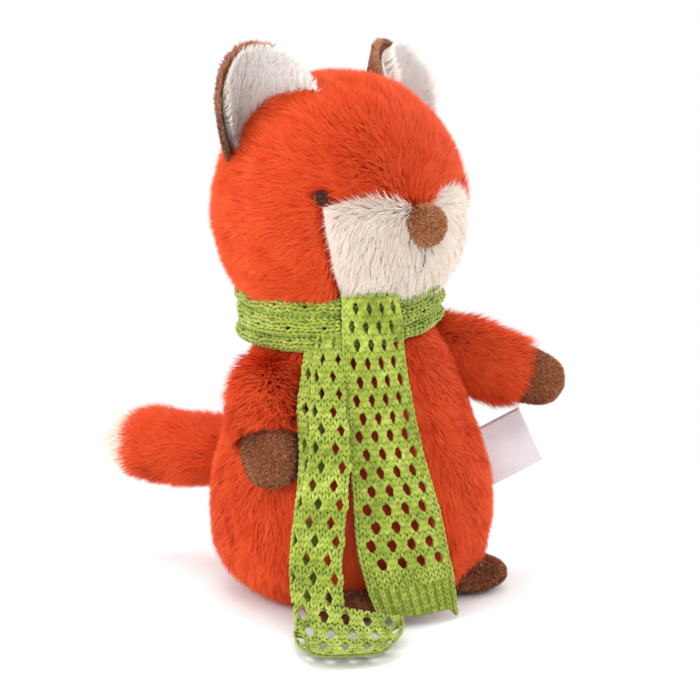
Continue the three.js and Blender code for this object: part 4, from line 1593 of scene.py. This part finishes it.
@dataclass
class Limb:
    """An arm or the tail: a sleeve with long pile and an end of another cloth."""

    wardrobe: Wardrobe
    body: Body
    name: str
    end: str
    carrier: str
    length: float
    radius: float
    height_share: float
    azimuth: float
    heading: float
    drop: float
    wrist: float
    shares: Array
    root_depth: float
    seed: int
    is_tail: bool = False
    inset: float = 2.6
    sleeve_pile: Pile = Pile(length=9.0, width=0.34, per_mm2=5.8, stand=0.92, lie=0.6, skin=0.82)
    nap: Pile = SHORT_NAP
    tip_pile: Pile = Pile(
        length=8.0, width=0.36, per_mm2=8.5, stand=0.75, lie=0.45, tuft=2.2, pull=0.3, jitter=34, skin=0.5,
        speckle=0.3,
    )

    def root(self) -> Array:
        """The place where the limb's axis starts."""
        return self.body.on(self.height_share, self.azimuth, -self.root_depth)

    def axis(self) -> Array:
        """The way that the limb points."""
        drop = np.radians(self.drop)
        return radial(self.heading) * np.cos(drop) - UP * np.sin(drop)

    def surface(self, u: Array, v: Array) -> Array:
        """The limb's outline less the inset, turned about its axis, and kept outside the body's cloth.

        Args:
            u: Shares round the surface.
            v: Shares along the surface.

        Returns:
            Places in millimetres.
        """
        outline = spline(self.shares, v)
        axis = self.axis()
        across = unit(np.cross(axis, [0.3, 0.2, 0.9]))
        over = np.cross(axis, across)
        past = 0.0 if self.is_tail else 0.6 * smooth(outline[..., 0], self.wrist - 0.04, self.wrist + 0.04)
        less = self.inset * (1 - past) * smooth(outline[..., 1], 0, 0.5)
        reach = np.maximum(outline[..., 1] * self.radius - less, 0)
        angle = 2 * math.pi * u
        flat = circle(angle, across, over)
        along = outline[..., 0] * (self.length - self.inset * (1 if self.is_tail else 0.4))
        place = self.root() + axis * along[..., None] + flat * reach[..., None]
        level = np.hypot(place[..., 0], place[..., 1])
        least = self.body.radius_at(place[..., 2]) - self.body.inset + 0.6
        push = np.maximum(least / np.maximum(level, 1e-6), 1.0)
        return place * np.stack([push, push, np.ones_like(push)], -1)

    def run(self, place: Array) -> Array:
        """How far along the limb places are, as a share of its length."""
        return (place - self.root()) @ self.axis() / self.length

    def wrist_place(self) -> float:
        """The share of the outline's curve at which the sleeve ends."""
        v = np.linspace(0, 1, 400)
        return float(v[np.argmin(np.abs(spline(self.shares, v)[:, 0] - self.wrist))])

    def outside_body(self, place: Array) -> Array:
        """Whether places are outside the body's cloth."""
        return np.linalg.norm(place[:, :2], axis=1) > self.body.radius_at(place[:, 2]) - self.body.inset + 0.8

    def make(self) -> None:
        """Makes the sleeve, the end and their pile."""
        wrist = self.wrist_place()
        wardrobe = self.wardrobe
        rings = rings_of(self.surface, 0.04, wrist, 40, 64)
        nodes = (self.name, f"{self.carrier}_stuffing")
        stuffed(f"{self.name}_cloth", rings, wardrobe.orange_backing, 0.8, self.carrier, Slot.ORANGE, *nodes)
        if self.is_tail:
            slot, cloth, pile, finish = Slot.CREAM, wardrobe.cream_backing, self.tip_pile, wardrobe.cream_pile
            sag, root_sag, sleeve_stop, end_start = 0, 0, 0.03, 0.07
        else:
            slot, cloth, pile, finish = Slot.BROWN, wardrobe.brown_cloth, self.nap, wardrobe.brown_nap
            sag, root_sag, sleeve_stop, end_start = 0.3, 1.2, 0.06, 0.02
        rings = rings_of(self.surface, wrist, 0.995, 30, 64)
        stuffed(f"{self.end}_cloth", rings, cloth, 0.8, self.carrier, slot, self.end)
        down = self.axis()[None] - sag * UP
        Fleece(
            f"{self.name}_pile", self.surface, self.sleeve_pile,
            lambda place: down - root_sag * (1 - smooth(self.run(place), 0, 0.4))[:, None] * UP,
            wardrobe.orange_pile, self.seed,
            lambda place, u, v: (self.run(place) < self.wrist - sleeve_stop) & self.outside_body(place),
        ).grow(self.carrier, Slot.ORANGE)
        Fleece(
            f"{self.end}_pile", self.surface, pile, lambda place: np.broadcast_to(down, place.shape), finish,
            self.seed + 1, lambda place, u, v: self.run(place) > self.wrist - end_start,
        ).grow(self.carrier, slot)


# Feet


@dataclass
class Foot:
    """A flat foot pad: an upper and a sole, sewn round the edge."""

    wardrobe: Wardrobe
    body: Body
    side: Side
    length: float = 42
    width: float = 35
    thickness: float = 14
    azimuth: float = 45
    heading: float = 50
    tip_reach: float = 8.7
    tip_height: float = 0.235
    stand_depth: float = 0.5
    inset: float = 0.9
    nap: Pile = SHORT_NAP

    def surface(self, u: Array, v: Array) -> Array:
        """An egg with a groove at its edge seam, flat where it stands.

        The reach is cos^0.8 of the lift less 0.9 exp(-(lift/5 degrees)^2), the height is
        sin, and below the floor it is cut level.

        Args:
            u: Shares round the surface.
            v: Shares along the surface.

        Returns:
            Places in millimetres.
        """
        lift = math.pi * (v - 0.5)
        sign = self.side.value
        ahead, across = radial(sign * self.heading), radial(sign * self.heading + 90)
        groove = 0.9 * np.exp(-((np.degrees(lift) / 5) ** 2))
        reach = np.maximum(np.cos(lift), 1e-6) ** 0.8
        half = np.array([self.length / 2, self.width / 2]) - self.inset
        angle = 2 * math.pi * u
        tip = self.body.on(self.tip_height, sign * self.azimuth, self.tip_reach)
        level = (tip - ahead * self.length / 2) * np.array([1, 1, 0])
        centre = level + UP * (self.thickness - self.stand_depth) / 2
        flat = (np.cos(angle) * (half[0] * reach - groove))[..., None] * ahead
        flat = flat + (np.sin(angle) * (half[1] * reach - groove))[..., None] * across
        high = np.sin(lift) * ((self.thickness + self.stand_depth) / 2 - self.inset)
        place = centre + flat + high[..., None] * UP
        return np.concatenate([place[..., :2], np.maximum(place[..., 2:], 0.35)], -1)

    def make(self) -> None:
        """Makes the upper, the sole and the nap."""
        word = self.side.word
        stuffing = f"foot_{word}_stuffing"
        for part, low, high, *inside in (("upper", 0.5, 0.985, stuffing), ("sole", 0.015, 0.5)):
            rings = rings_of(self.surface, low, high, 30, 72)
            stuffed(
                f"foot_{word}_{part}_cloth", rings, self.wardrobe.brown_cloth, 0.7, f"foot_{word}", Slot.BROWN,
                f"foot_{word}_{part}", *inside,
            )
        Fleece(
            f"foot_{word}_nap", self.surface, self.nap,
            lambda place: unit(place - place.mean(0)) + np.array([0, -0.2, -0.4]), self.wardrobe.brown_nap,
            Seed.FOOT + self.side.value,
            lambda place, u, v: (place[:, 2] > 1.6)
            & (np.linalg.norm(place[:, :2], axis=1) > self.body.radius_at(place[:, 2]) - 5),
        ).grow(f"foot_{word}", Slot.BROWN)


# Scarf


@dataclass(frozen=True)
class Stitch:
    """One knitted stitch: two legs of yarn that meet in a V."""

    width: float = 2.75
    height: float = 2.35
    reach: float = 1.35
    radius: float = 0.64
    depth: float = 0.36
    rib: float = 0.0
    points: int = 6
    sides: int = 6


@dataclass
class ScarfCloth:
    """A stretch of the scarf: a thin net that carries the cloth's size, and the yarn knitted over it."""

    wardrobe: Wardrobe
    name: str
    width: float
    length: float
    stitch: Stitch = Stitch()
    hole: float = 2.3
    hole_tall: float = 2.75
    per_eyelet: int = 3
    slant: float = 0.12
    plain_end: float = 0.0
    bar: float = 0.0
    mesh: float = 0.9
    outward: float = 1.0

    @property
    def wales(self) -> int:
        """How many columns of stitches fill the width."""
        return max(2, round(self.width / self.stitch.width))

    @property
    def row_pitch(self) -> float:
        """How far apart the rows of eyelets are: some whole courses."""
        lace = self.length - self.plain_end
        return self.per_eyelet * lace / max(1, round(lace / self.stitch.height))

    def at(self, s: Array, t: Array) -> Array:
        """The cloth's middle surface, from shares across (-0.5 to 0.5) and along (0 to 1)."""
        raise NotImplementedError

    def normal(self, s: Array, t: Array) -> Array:
        """The unit cross product of the spans across and along, facing away from the fox.

        Args:
            s: Shares of the way across the cloth.
            t: Shares of the way along the cloth.

        Returns:
            The normals.
        """
        step = 2e-3
        across = self.at(s + step, t) - self.at(s - step, t)
        along = self.at(s, t + step) - self.at(s, t - step)
        return unit(np.cross(across, along)) * self.outward

    def counts(self) -> tuple[int, int]:
        """How many eyelets there are across, and how many rows of them."""
        rows = int((self.length - self.plain_end - self.bar) / self.row_pitch + 0.1)
        return (self.wales - self.per_eyelet) // self.per_eyelet + 1, max(rows, 0)

    def eyelet(self, x: Array, y: Array) -> tuple[Array, Array]:
        """How far places are across from the nearest eyelet's middle line, and its half width there.

        An eyelet lies between two columns, and every second row is moved over by one
        column. Its half width is a (1 - |y/b|^1.6)^(1/1.6), a rounded diamond.

        Args:
            x: Millimetres across the cloth.
            y: Millimetres along the cloth.

        Returns:
            The distances across and the half widths.
        """
        across, rows = self.counts()
        pace = self.width / self.wales
        row = np.floor(y / self.row_pitch)
        first = (self.wales - self.per_eyelet * (across - 1)) // 2 - 0.5 * self.wales + row % 2
        column = np.clip(np.round((x / pace - first) / self.per_eyelet), 0, across - 1)
        down = y - (row + 0.5) * self.row_pitch
        off = x - (first + column * self.per_eyelet) * pace - self.slant * down
        tall = np.clip(1 - np.abs(down / self.hole_tall) ** 1.6, 0, 1) ** (1 / 1.6)
        return off, np.where((row >= 0) & (row < rows), self.hole * tall, 0)

    def opened(self, x: Array, y: Array) -> Array:
        """Moves places across out of the eyelets: o becomes the half width e plus (1 - e / half pitch) o.

        Args:
            x: Millimetres across the cloth.
            y: Millimetres along the cloth.

        Returns:
            The moved places across.
        """
        off, half = self.eyelet(x, y)
        room = self.per_eyelet * self.width / self.wales / 2
        moved = np.sign(off) * (half + (1 - half / room) * np.abs(off))
        return x + np.where(np.abs(off) < room, moved - off, 0)

    def yarn(self, name: str, stitch: Stitch, start: float, stop: float, seed: int) -> bpy.types.Object:
        """Knits a stretch of the cloth: for each stitch, two legs that part on the way up.

        A share q up a leg, it is (0.08 + 0.4 q) of a stitch across from the middle of its
        column and reach q courses up, and it goes from the front to behind the next stitch.

        Args:
            name: The piece's name.
            stitch: The stitch to knit.
            start: Millimetres along the cloth where it starts.
            stop: Millimetres along the cloth where it ends.
            seed: Where the random numbers start.

        Returns:
            The piece.
        """
        wales = max(2, round(self.width / stitch.width))
        courses = max(1, round((stop - start) / stitch.height))
        pace, rise = self.width / wales, (stop - start) / courses
        course, wale, side = (part.ravel()[:, None] for part in np.indices((courses, wales, 2)))
        q = np.linspace(0, 1, stitch.points)[None]
        x = (wale + 0.5 - wales / 2 + (2 * side - 1) * (0.08 + 0.4 * q)) * pace
        y = start + (course + 0.85 - stitch.reach * q) * rise
        z = 0.15 + stitch.depth * (1 - 2 * q) + 0.15 * np.sin(math.pi * q) - stitch.rib * (wale % 2)
        x = self.opened(x, y)
        s, t = x / self.width, y / self.length
        up = self.normal(s, t)
        path = self.at(s, t) + up * z[..., None]
        flat = path.reshape(-1, 3)
        path = path + 0.13 * np.stack([ripple(flat, 4, seed + k) for k in range(3)], -1).reshape(path.shape)
        tone = (0.5 + 0.2 * ripple(flat, 17, seed) + 0.2 * ripple(flat, 3.2, seed + 5)).reshape(path.shape[:2])
        sizes = stitch.radius * np.maximum(np.sin(math.pi * q[0]), 0.0004) ** 0.5
        return tubes(name, path, up, sizes, stitch.sides, tone, self.wardrobe.yarn)

    def net(self) -> bpy.types.Object:
        """A thin net behind the yarn, with its cells left out in the eyelets, in a darker green than the yarn as
        painted shade between the stitches.

        Returns:
            The piece.
        """
        columns, rows = round(self.width / self.mesh), round(self.length / self.mesh)
        s, t = np.meshgrid(np.linspace(-0.5, 0.5, columns + 1), np.linspace(0, 1, rows + 1), indexing="ij")
        places = (self.at(s, t) - self.normal(s, t) * 0.35).reshape(-1, 3)
        quads = grid_quads(columns + 1, rows + 1)
        row, column = np.meshgrid(np.arange(columns), np.arange(rows), indexing="ij")
        x = ((row + 0.5) / columns - 0.5).ravel() * self.width
        y = ((column + 0.5) / rows).ravel() * self.length
        off, half = self.eyelet(x, y)
        quads = quads[np.abs(off) >= half - 0.1]
        if self.outward < 0:
            quads = quads[:, ::-1]
        used, renumbered = np.unique(quads, return_inverse=True)
        # The net's darker green is painted shade in the gaps between the stitches.
        totals, painted_gap_shade = np.full(len(quads), 4), self.wardrobe.yarn_core
        piece = mesh_object(f"{self.name}_net", places[used], renumbered.ravel(), totals, painted_gap_shade)
        thicken(piece, 0.3)
        return piece

    def open_share(self) -> float:
        """The share of the flat cloth that the eyelets leave open."""
        across, rows = self.counts()
        return across * rows * 2.75 * self.hole * self.hole_tall / (self.width * self.length)

    def dress(self, node: str, held: str, rests_on: list[str], yarns: list[bpy.types.Object]) -> None:
        """Args:
            node: The CAD node that it stands for.
            held: Not used.
            rests_on: Not used.
            yarns: The yarn pieces that go with it.
        """
        net = self.net()
        settle(net, "torso", Slot.GREEN, node)
        for piece in yarns:
            settle(piece, "torso", Slot.GREEN)
        share = 100 * self.open_share()
        log.info("%s: %.0f by %.0f mm flat, %.0f%% open", self.name, self.width, self.length, share)


def hanging(knots: list[tuple[float, float, float]], body: Body) -> Array:
    """A path down the front from shares of the body's height, azimuths, and shares of its radius."""
    rise, azimuth, out = np.array(knots, float).T
    return radial(azimuth) * (out * body.radius)[:, None] + (rise * body.height)[:, None] * UP


@dataclass
class FrontPanel(ScarfCloth):
    """The end that hangs in front, out over the wrap, with a ribbed hem."""

    path: Track = None
    azimuths: tuple[float, float] = (28.5, 13.8)
    widths: Array = field(
        default_factory=lambda: np.array([0.55, 0.6, 0.64, 0.69, 0.74, 0.81, 0.9, 0.97, 0.99, 0.92])[:, None]
    )
    bow: float = 0.9

    def at(self, s: Array, t: Array) -> Array:
        """The path, plus the share across, less the bow cos(2 pi (s + 1/2)), the edges' curl and slow waves.

        Its last corner droops.

        Args:
            s: Shares of the way across the cloth.
            t: Shares of the way along the cloth.

        Returns:
            Places in millimetres.
        """
        azimuth = self.azimuths[0] + (self.azimuths[1] - self.azimuths[0]) * t
        out = radial(azimuth)
        reach = s * self.width * spline(self.widths, t)[..., 0]
        lift = -self.bow * np.cos(2 * math.pi * (s + 0.5)) - 1.4 * np.abs(2 * s) ** 5
        lift = lift + 0.5 * np.sin(9.5 * t + 5 * s) + 0.35 * np.sin(21 * t - 4 * s)
        droop = 3.6 * smooth(s, 0.36, 0.5) * smooth(t, 0.9, 1.0)
        return self.path.at(t) + beside(out) * reach[..., None] + out * lift[..., None] - UP * droop[..., None]


@dataclass
class SideFall(ScarfCloth):
    """The other end, folded lengthwise, from under the wrap down to the floor."""

    path: Track = None
    fold: Track = None
    fold_low: Track = None
    face: float = 51.0
    widths: Array = field(default_factory=lambda: np.array([0.66, 0.8, 0.95, 1, 1, 1, 1])[:, None])

    def at(self, s: Array, t: Array) -> Array:
        """The path, plus the fold's place across, times the gathered width, and its depth.

        The fold changes from its upper section to its lower one on the way down.

        Args:
            s: Shares of the way across the cloth.
            t: Shares of the way along the cloth.

        Returns:
            Places in millimetres.
        """
        out = radial(self.face)
        low = smooth(t, 0.25, 0.85)[..., None]
        place = self.fold.at(0.5 - s) * (1 - low) + self.fold_low.at(0.5 - s) * low
        reach = place[..., 0] * spline(self.widths, t)[..., 0]
        depth = place[..., 1] + 0.45 * np.sin(13 * t + 6 * s)
        return self.path.at(t) + beside(out) * reach[..., None] + out * depth[..., None]


@dataclass
class FloorEnd(ScarfCloth):
    """The last of the side end, lying on the floor like a shallow scoop."""

    azimuth: float = 40.5
    span: float = 41
    near: float = 72
    narrow: float = 6
    belly: float = 31
    height: float = 13.3
    slope: float = 6.5
    lip: float = 4

    def at(self, s: Array, t: Array) -> Array:
        """Forward by narrow (1.25 - u) + belly (1 - |2u - 1|^3.4)^0.55, and down by (1 - t)^2.6 to the floor.

        The front curls up to a lip, and so does the far end.

        Args:
            s: Shares of the way across the cloth.
            t: Shares of the way along the cloth.

        Returns:
            Places in millimetres.
        """
        u = s + 0.5
        out = radial(self.azimuth)
        span = np.clip(t, 0, 1)
        round_off = np.maximum(1 - np.abs(2 * np.clip(u, 0, 1) - 1) ** 3.4, 0) ** 0.55
        forward = self.narrow * (1.25 - u) + self.belly * round_off
        rim = (self.height - self.slope * u) * (1 - span) ** 2.6
        lift = 1.7 + self.lip * span**5 + rim + 3.0 * smooth(u, 0.8, 1.0) * (1 - (1 - span) ** 2)
        reach = self.near + forward * t
        return out * reach[..., None] + beside(out) * (s * self.span)[..., None] + UP * lift[..., None]


@dataclass
class NeckWrap(ScarfCloth):
    """The scarf round the neck: two turns, rolled one above the other."""

    radius: float = 35
    set_back: float = 6
    half_thickness: float = 7.5
    half_height: float = 10.5
    height_spread: float = 0.5
    centre: float = 117
    tilt: float = 4
    inset: float = 1.05
    profile: Array = field(default_factory=lambda: np.array([
        [0.3, 0.92], [0.6, 1.0], [0.92, 0.82], [0.94, 0.6], [0.62, 0.42], [0.9, 0.2], [1.02, -0.02],
        [0.98, -0.26], [0.6, -0.44], [0.92, -0.6], [0.94, -0.8], [0.66, -0.98], [0.2, -1.0], [-0.5, -0.92],
    ]))

    def at(self, s: Array, t: Array) -> Array:
        """The profile, turned about the neck at its share around, tilted down to the fox's right.

        Height is scaled by (half height + spread side) / half height and lowered by tilt
        side, where side is 1 at the fox's right, and the roll creases with two slow waves.

        Args:
            s: Shares of the way across the cloth.
            t: Shares of the way along the cloth.

        Returns:
            Places in millimetres.
        """
        around = 360 * t + 180
        out = radial(around)
        place = Track(self.profile * np.array([self.half_thickness, self.half_height])).at(0.5 - s)
        crease = 0.9 * np.sin(np.radians(around) * 5 + 10 * s) + 0.5 * np.sin(np.radians(around) * 11 - 16 * s)
        side = -out[..., 0]
        reach = self.radius - self.inset + place[..., 0] + crease * 0.7 + 2.0 * np.minimum(side, 0)
        scale = (self.half_height - self.inset * 0.9 + self.height_spread * side) / self.half_height
        high = place[..., 1] * scale + self.centre - self.tilt * side
        return out * reach[..., None] + high[..., None] * UP + np.array([0, self.set_back, 0])


@dataclass
class Scarf:
    """The whole scarf, made up from its four stretches."""

    wardrobe: Wardrobe
    body: Body

    def make(self) -> None:
        """Makes the wrap, the front panel, the side fall and its end on the floor."""
        self.make_wrap()
        self.make_front()
        self.make_fall()

    def make_wrap(self) -> None:
        """The wrap, knitted as two halves round the neck."""
        profile = NeckWrap(self.wardrobe, "scarf_wrap", 1, 1)
        width = Track(profile.profile * np.array([profile.half_thickness, profile.half_height])).length()
        length = 2 * math.pi * (profile.radius + profile.half_thickness * 0.6)
        wrap = NeckWrap(
            self.wardrobe, "scarf_wrap", width, length, Stitch(sides=5), hole=0.8, hole_tall=1.6, mesh=1.3,
        )
        halves = [
            wrap.yarn("scarf_wrap_yarn_left", wrap.stitch, 0, length / 2, Seed.WRAP_LEFT),
            wrap.yarn("scarf_wrap_yarn_right", wrap.stitch, length / 2, length, Seed.WRAP_RIGHT),
        ]
        wrap.dress("scarf_neck_wrap", "gathered", ["body_cloth"], halves)

    def make_front(self) -> None:
        """The front panel, with a finer ribbed hem."""
        knots = hanging([
            (0.965, 28.5, 0.625), (0.99, 28.5, 0.645), (0.988, 28.5, 0.68), (0.955, 28, 0.715),
            (0.9, 27.3, 0.722), (0.84, 27, 0.735), (0.77, 26.6, 0.77), (0.69, 26.1, 0.84),
            (0.545, 24.9, 0.95), (0.345, 21.2, 1.045), (0.225, 19.5, 1.1), (0.035, 13.8, 1.12),
        ], self.body)
        path = Track(knots)
        panel = FrontPanel(
            self.wardrobe, "scarf_front", 38, path.length(), plain_end=12, bar=3, outward=-1, path=path,
        )
        hem = Stitch(width=1.95, height=2.0, radius=0.55, rib=1.0)
        yarns = [
            panel.yarn("scarf_front_yarn", panel.stitch, 0, panel.length - panel.plain_end, Seed.FRONT),
            panel.yarn("scarf_front_hem", hem, panel.length - panel.plain_end - 0.5, panel.length, Seed.HEM),
        ]
        panel.dress("scarf_front_panel", "hung", ["scarf_wrap_net"], yarns)

    def make_fall(self) -> None:
        """The side fall and the end that lies on the floor."""
        path = Track(hanging([
            (0.87, 55, 0.65), (0.83, 55, 0.7), (0.78, 54.5, 0.78), (0.72, 53, 0.87), (0.655, 52, 0.97),
            (0.547, 50, 1.08), (0.43, 50.3, 1.14), (0.31, 51, 1.19), (0.195, 51.3, 1.235), (0.098, 50, 1.29),
        ], self.body))
        size = np.array([20, 5])
        fold = Track(size * [
            [0.5, -0.1], [0.3, 0.05], [0.05, 0.1], [-0.16, 0.16], [-0.24, -0.1], [-0.22, -0.5], [-0.38, -0.55],
            [-0.52, -0.6], [-0.48, -1], [-0.1, -1],
        ])
        fold_low = Track(size * [
            [0.5, 0], [0.3, 0.1], [0.0, 0.05], [-0.3, 0.1], [-0.46, 0.12], [-0.5, -0.2], [-0.5, -0.6],
            [-0.4, -1], [-0.1, -1], [0.1, -0.9],
        ])
        fall = SideFall(
            self.wardrobe, "scarf_fall", fold_low.length(), path.length(), hole=1.7, hole_tall=2.4, outward=-1,
            path=path, fold=fold, fold_low=fold_low,
        )
        yarns = [fall.yarn("scarf_fall_yarn", fall.stitch, 0, fall.length, Seed.FALL)]
        fall.dress("scarf_side_fall", "hung", ["scarf_wrap_net"], yarns)
        end = FloorEnd(self.wardrobe, "scarf_end", 41, 33, hole=2.0, outward=-1)
        yarns = [end.yarn("scarf_end_yarn", end.stitch, 0, end.length, Seed.END)]
        end.dress("scarf_side_end", "laid", [], yarns)


# Label


@dataclass
class SideLabel:
    """A plain satin ribbon, folded to a loop, its ends in the side seam."""

    wardrobe: Wardrobe
    body: Body
    height: float = 24
    length: float = 40
    loop: float = 1.7
    azimuth: float = -82
    heading: float = -61
    tilt: float = 25
    height_share: float = 0.21

    def make(self) -> None:
        """Makes the loop: out along one side, round the fold, and back, curling a little at its corners."""
        half = self.loop / 2
        turn = np.linspace(math.pi / 2, -math.pi / 2, 12)
        straight = np.linspace(0, self.length - half, 40)
        along = np.concatenate([straight, self.length - half + half * np.cos(turn)[1:-1], straight[::-1]])
        off = np.concatenate([np.full(40, half), half * np.sin(turn)[1:-1], np.full(40, -half)])
        across = np.linspace(0, 1, 26)
        tilt = np.radians(self.tilt)
        level = radial(self.heading)
        ahead = level * np.cos(tilt) + UP * np.sin(tilt)
        over = -level * np.sin(tilt) + UP * np.cos(tilt)
        beside = np.cross(over, ahead)
        root = self.body.on(self.height_share, self.azimuth, -2.0)
        run, rise = np.meshgrid(along / self.length, across, indexing="ij")
        bend = 1.5 * np.sin(math.pi * run * 0.9) * (rise - 0.35) + 1.6 * run**2 * smooth(rise, 0.55, 1.0)
        places = root + ahead * along[:, None, None] + over * (rise * self.height)[..., None]
        places = places + beside * (off[:, None] + bend)[..., None]
        quads = grid_quads(*places.shape[:2])
        piece = mesh_object(
            "label_ribbon", places.reshape(-1, 3), quads.ravel(), np.full(len(quads), 4), self.wardrobe.satin
        )
        thicken(piece, 0.28)
        settle(piece, "torso", Slot.LABEL, "side_label")


# Studio


@dataclass
class Studio:
    """A pale floor, soft lamps and the camera at the photograph's angle."""

    azimuth: float = 40
    elevation: float = 12
    distance: float = 1.05
    lens: float = 135
    target: tuple[float, float, float] = (-0.0003, 0.0003, 0.0973)
    floor_radii: tuple[float, ...] = (20, 400, 1600, 4000)
    shadow_reach: tuple[float, float] = (0.1, 0.26)
    sky_strength: float = 0.95
    lamps: tuple[tuple[str, tuple[float, float, float], float, float], ...] = (
        ("front", (-0.6, -1.3, 1.2), 1.1, 7.0),
        ("left", (-1.35, 0.25, 0.75), 1.2, 14.0),
        ("right", (1.35, -0.35, 0.7), 1.2, 9.0),
        ("top", (0.1, 0.35, 1.6), 1.2, 12.0),
    )

    def make(self) -> None:
        """Makes the floor, the world, the lamps and the camera."""
        self.make_floor()
        self.make_world()
        for lamp in self.lamps:
            self.lamp(*lamp)
        data = bpy.data.cameras.new("camera")
        data.lens, data.sensor_width, data.clip_start = self.lens, 36, 0.01
        camera = in_scene("camera", data)
        lift = math.radians(self.elevation)
        away = Vector((*(radial(self.azimuth)[:2] * math.cos(lift)), math.sin(lift)))
        camera.location = Vector(self.target) + away * self.distance
        camera.rotation_euler = (-away).to_track_quat("-Z", "Y").to_euler()
        bpy.context.scene.camera = camera

    def lamp(self, name: str, place: tuple[float, float, float], size: float, power: float) -> None:
        """Adds a square soft lamp that faces the fox.

        Args:
            name: Its name.
            place: Where it stands, in metres.
            size: Its side, in metres.
            power: Its power in watts.
        """
        data = bpy.data.lights.new(name, "AREA")
        data.size, data.energy = size, power
        light = in_scene(name, data)
        light.location = place
        light.rotation_euler = (Vector((0, 0, 0.1)) - Vector(place)).to_track_quat("-Z", "Y").to_euler()

    def make_floor(self) -> None:
        """A round matt floor that keeps the shadow near the fox and meets the white world further out."""
        edge = circle(round_steps(96), np.array([1.0, 0, 0]), np.array([0, 1.0, 0]))
        rings = edge[None] * np.array(self.floor_radii, float)[:, None, None]
        material, tree = new_material("studio_floor")
        place = add_node(tree, "ShaderNodeTexCoord").outputs["Object"]
        reach = add_node(tree, "ShaderNodeVectorMath", {"operation": "LENGTH"}, {0: place})
        span = {"From Min": self.shadow_reach[0], "From Max": self.shadow_reach[1]}
        far = add_node(tree, "ShaderNodeMapRange", span, {0: reach.outputs[1]})
        path = add_node(tree, "ShaderNodeLightPath")
        both = {0: far.outputs[0], 1: path.outputs[0]}
        seen = add_node(tree, "ShaderNodeMath", {"operation": "MULTIPLY"}, both)
        matt = add_node(tree, "ShaderNodeBsdfPrincipled", {"Base Color": linear("#f4f4f4"), "Roughness": 0.9})
        white = add_node(tree, "ShaderNodeEmission", {"Color": (1, 1, 1, 1), "Strength": 1.0})
        inputs = {0: seen.outputs[0], 1: matt.outputs[0], 2: white.outputs[0]}
        mix = add_node(tree, "ShaderNodeMixShader", links=inputs)
        add_node(tree, "ShaderNodeOutputMaterial", links={0: mix.outputs[0]})
        count, sides, _ = rings.shape
        quads = ring_quads(count, sides)[:, [0, 3, 2, 1]]
        middle = count * sides
        fan = np.stack([np.full(sides, middle), np.arange(sides), (np.arange(sides) + 1) % sides], -1)
        places = np.vstack([rings.reshape(-1, 3), np.zeros((1, 3))])
        loops = np.concatenate([quads.ravel(), fan.ravel()])
        totals = np.concatenate([np.full(len(quads), 4), np.full(len(fan), 3)])
        mesh_object("floor", places, loops, totals, material, is_smooth=False)

    def make_world(self) -> None:
        """A plain soft sky that the camera sees as white."""
        world = bpy.data.worlds.new("world")
        bpy.context.scene.world = world
        world.use_nodes = True
        tree = world.node_tree
        tree.nodes.clear()
        path = add_node(tree, "ShaderNodeLightPath")
        sky = add_node(tree, "ShaderNodeBackground", {"Color": (1, 1, 1, 1), "Strength": self.sky_strength})
        white = add_node(tree, "ShaderNodeBackground", {"Color": (1, 1, 1, 1), "Strength": 1.0})
        inputs = {0: path.outputs[0], 1: sky.outputs[0], 2: white.outputs[0]}
        mix = add_node(tree, "ShaderNodeMixShader", links=inputs)
        add_node(tree, "ShaderNodeOutputWorld", links={0: mix.outputs[0]})
        bpy.context.scene.view_settings.view_transform = "Standard"


ARM_SHARES = np.array([
    [0, 0], [0.01, 0.46], [0.1, 0.8], [0.28, 1.03], [0.48, 1.03], [0.66, 0.95], [0.84, 0.84], [0.95, 0.6], [1, 0],
])
TAIL_SHARES = np.array([
    [0, 0], [0.01, 0.3], [0.12, 0.7], [0.32, 0.96], [0.55, 1], [0.75, 0.98], [0.9, 0.78], [0.975, 0.42], [1, 0],
])


def main() -> None:
    """Builds the studio and every piece of the fox, and logs how many triangles they have."""
    wardrobe = Wardrobe()
    Studio().make()
    head = Head(wardrobe)
    head.make()
    body = Body(wardrobe, head)
    body.make()
    Face(wardrobe, head).make()
    for side in Side:
        Ear(wardrobe, head, side).make()
        Foot(wardrobe, body, side).make()
    Limb(
        wardrobe, body, "arm_right_sleeve", "arm_right_paw", "arm_right",
        length=54, radius=13.2, height_share=0.755,
        azimuth=98, heading=34, drop=50, wrist=0.66, shares=ARM_SHARES, root_depth=-2, seed=Seed.RIGHT_ARM,
    ).make()
    Limb(
        wardrobe, body, "arm_left_sleeve", "arm_left_paw", "arm_left", length=67, radius=13.2, height_share=0.775,
        azimuth=-80, heading=-56, drop=19, wrist=0.735, shares=ARM_SHARES, root_depth=8, seed=Seed.LEFT_ARM,
    ).make()
    Limb(
        wardrobe, body, "tail_sleeve", "tail_tip", "tail", length=67, radius=13, height_share=0.36,
        azimuth=168, heading=153, drop=0, wrist=0.8, shares=TAIL_SHARES, root_depth=2, seed=Seed.TAIL, is_tail=True,
    ).make()
    Scarf(wardrobe, body).make()
    SideLabel(wardrobe, body).make()
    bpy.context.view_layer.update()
    meshes = [piece.data for piece in bpy.data.objects if piece.type == "MESH"]
    triangles = sum(len(mesh.loops) - 2 * len(mesh.polygons) for mesh in meshes)
    log.info("%d triangles before modifiers", triangles)


if __name__ == "__main__":
    main()
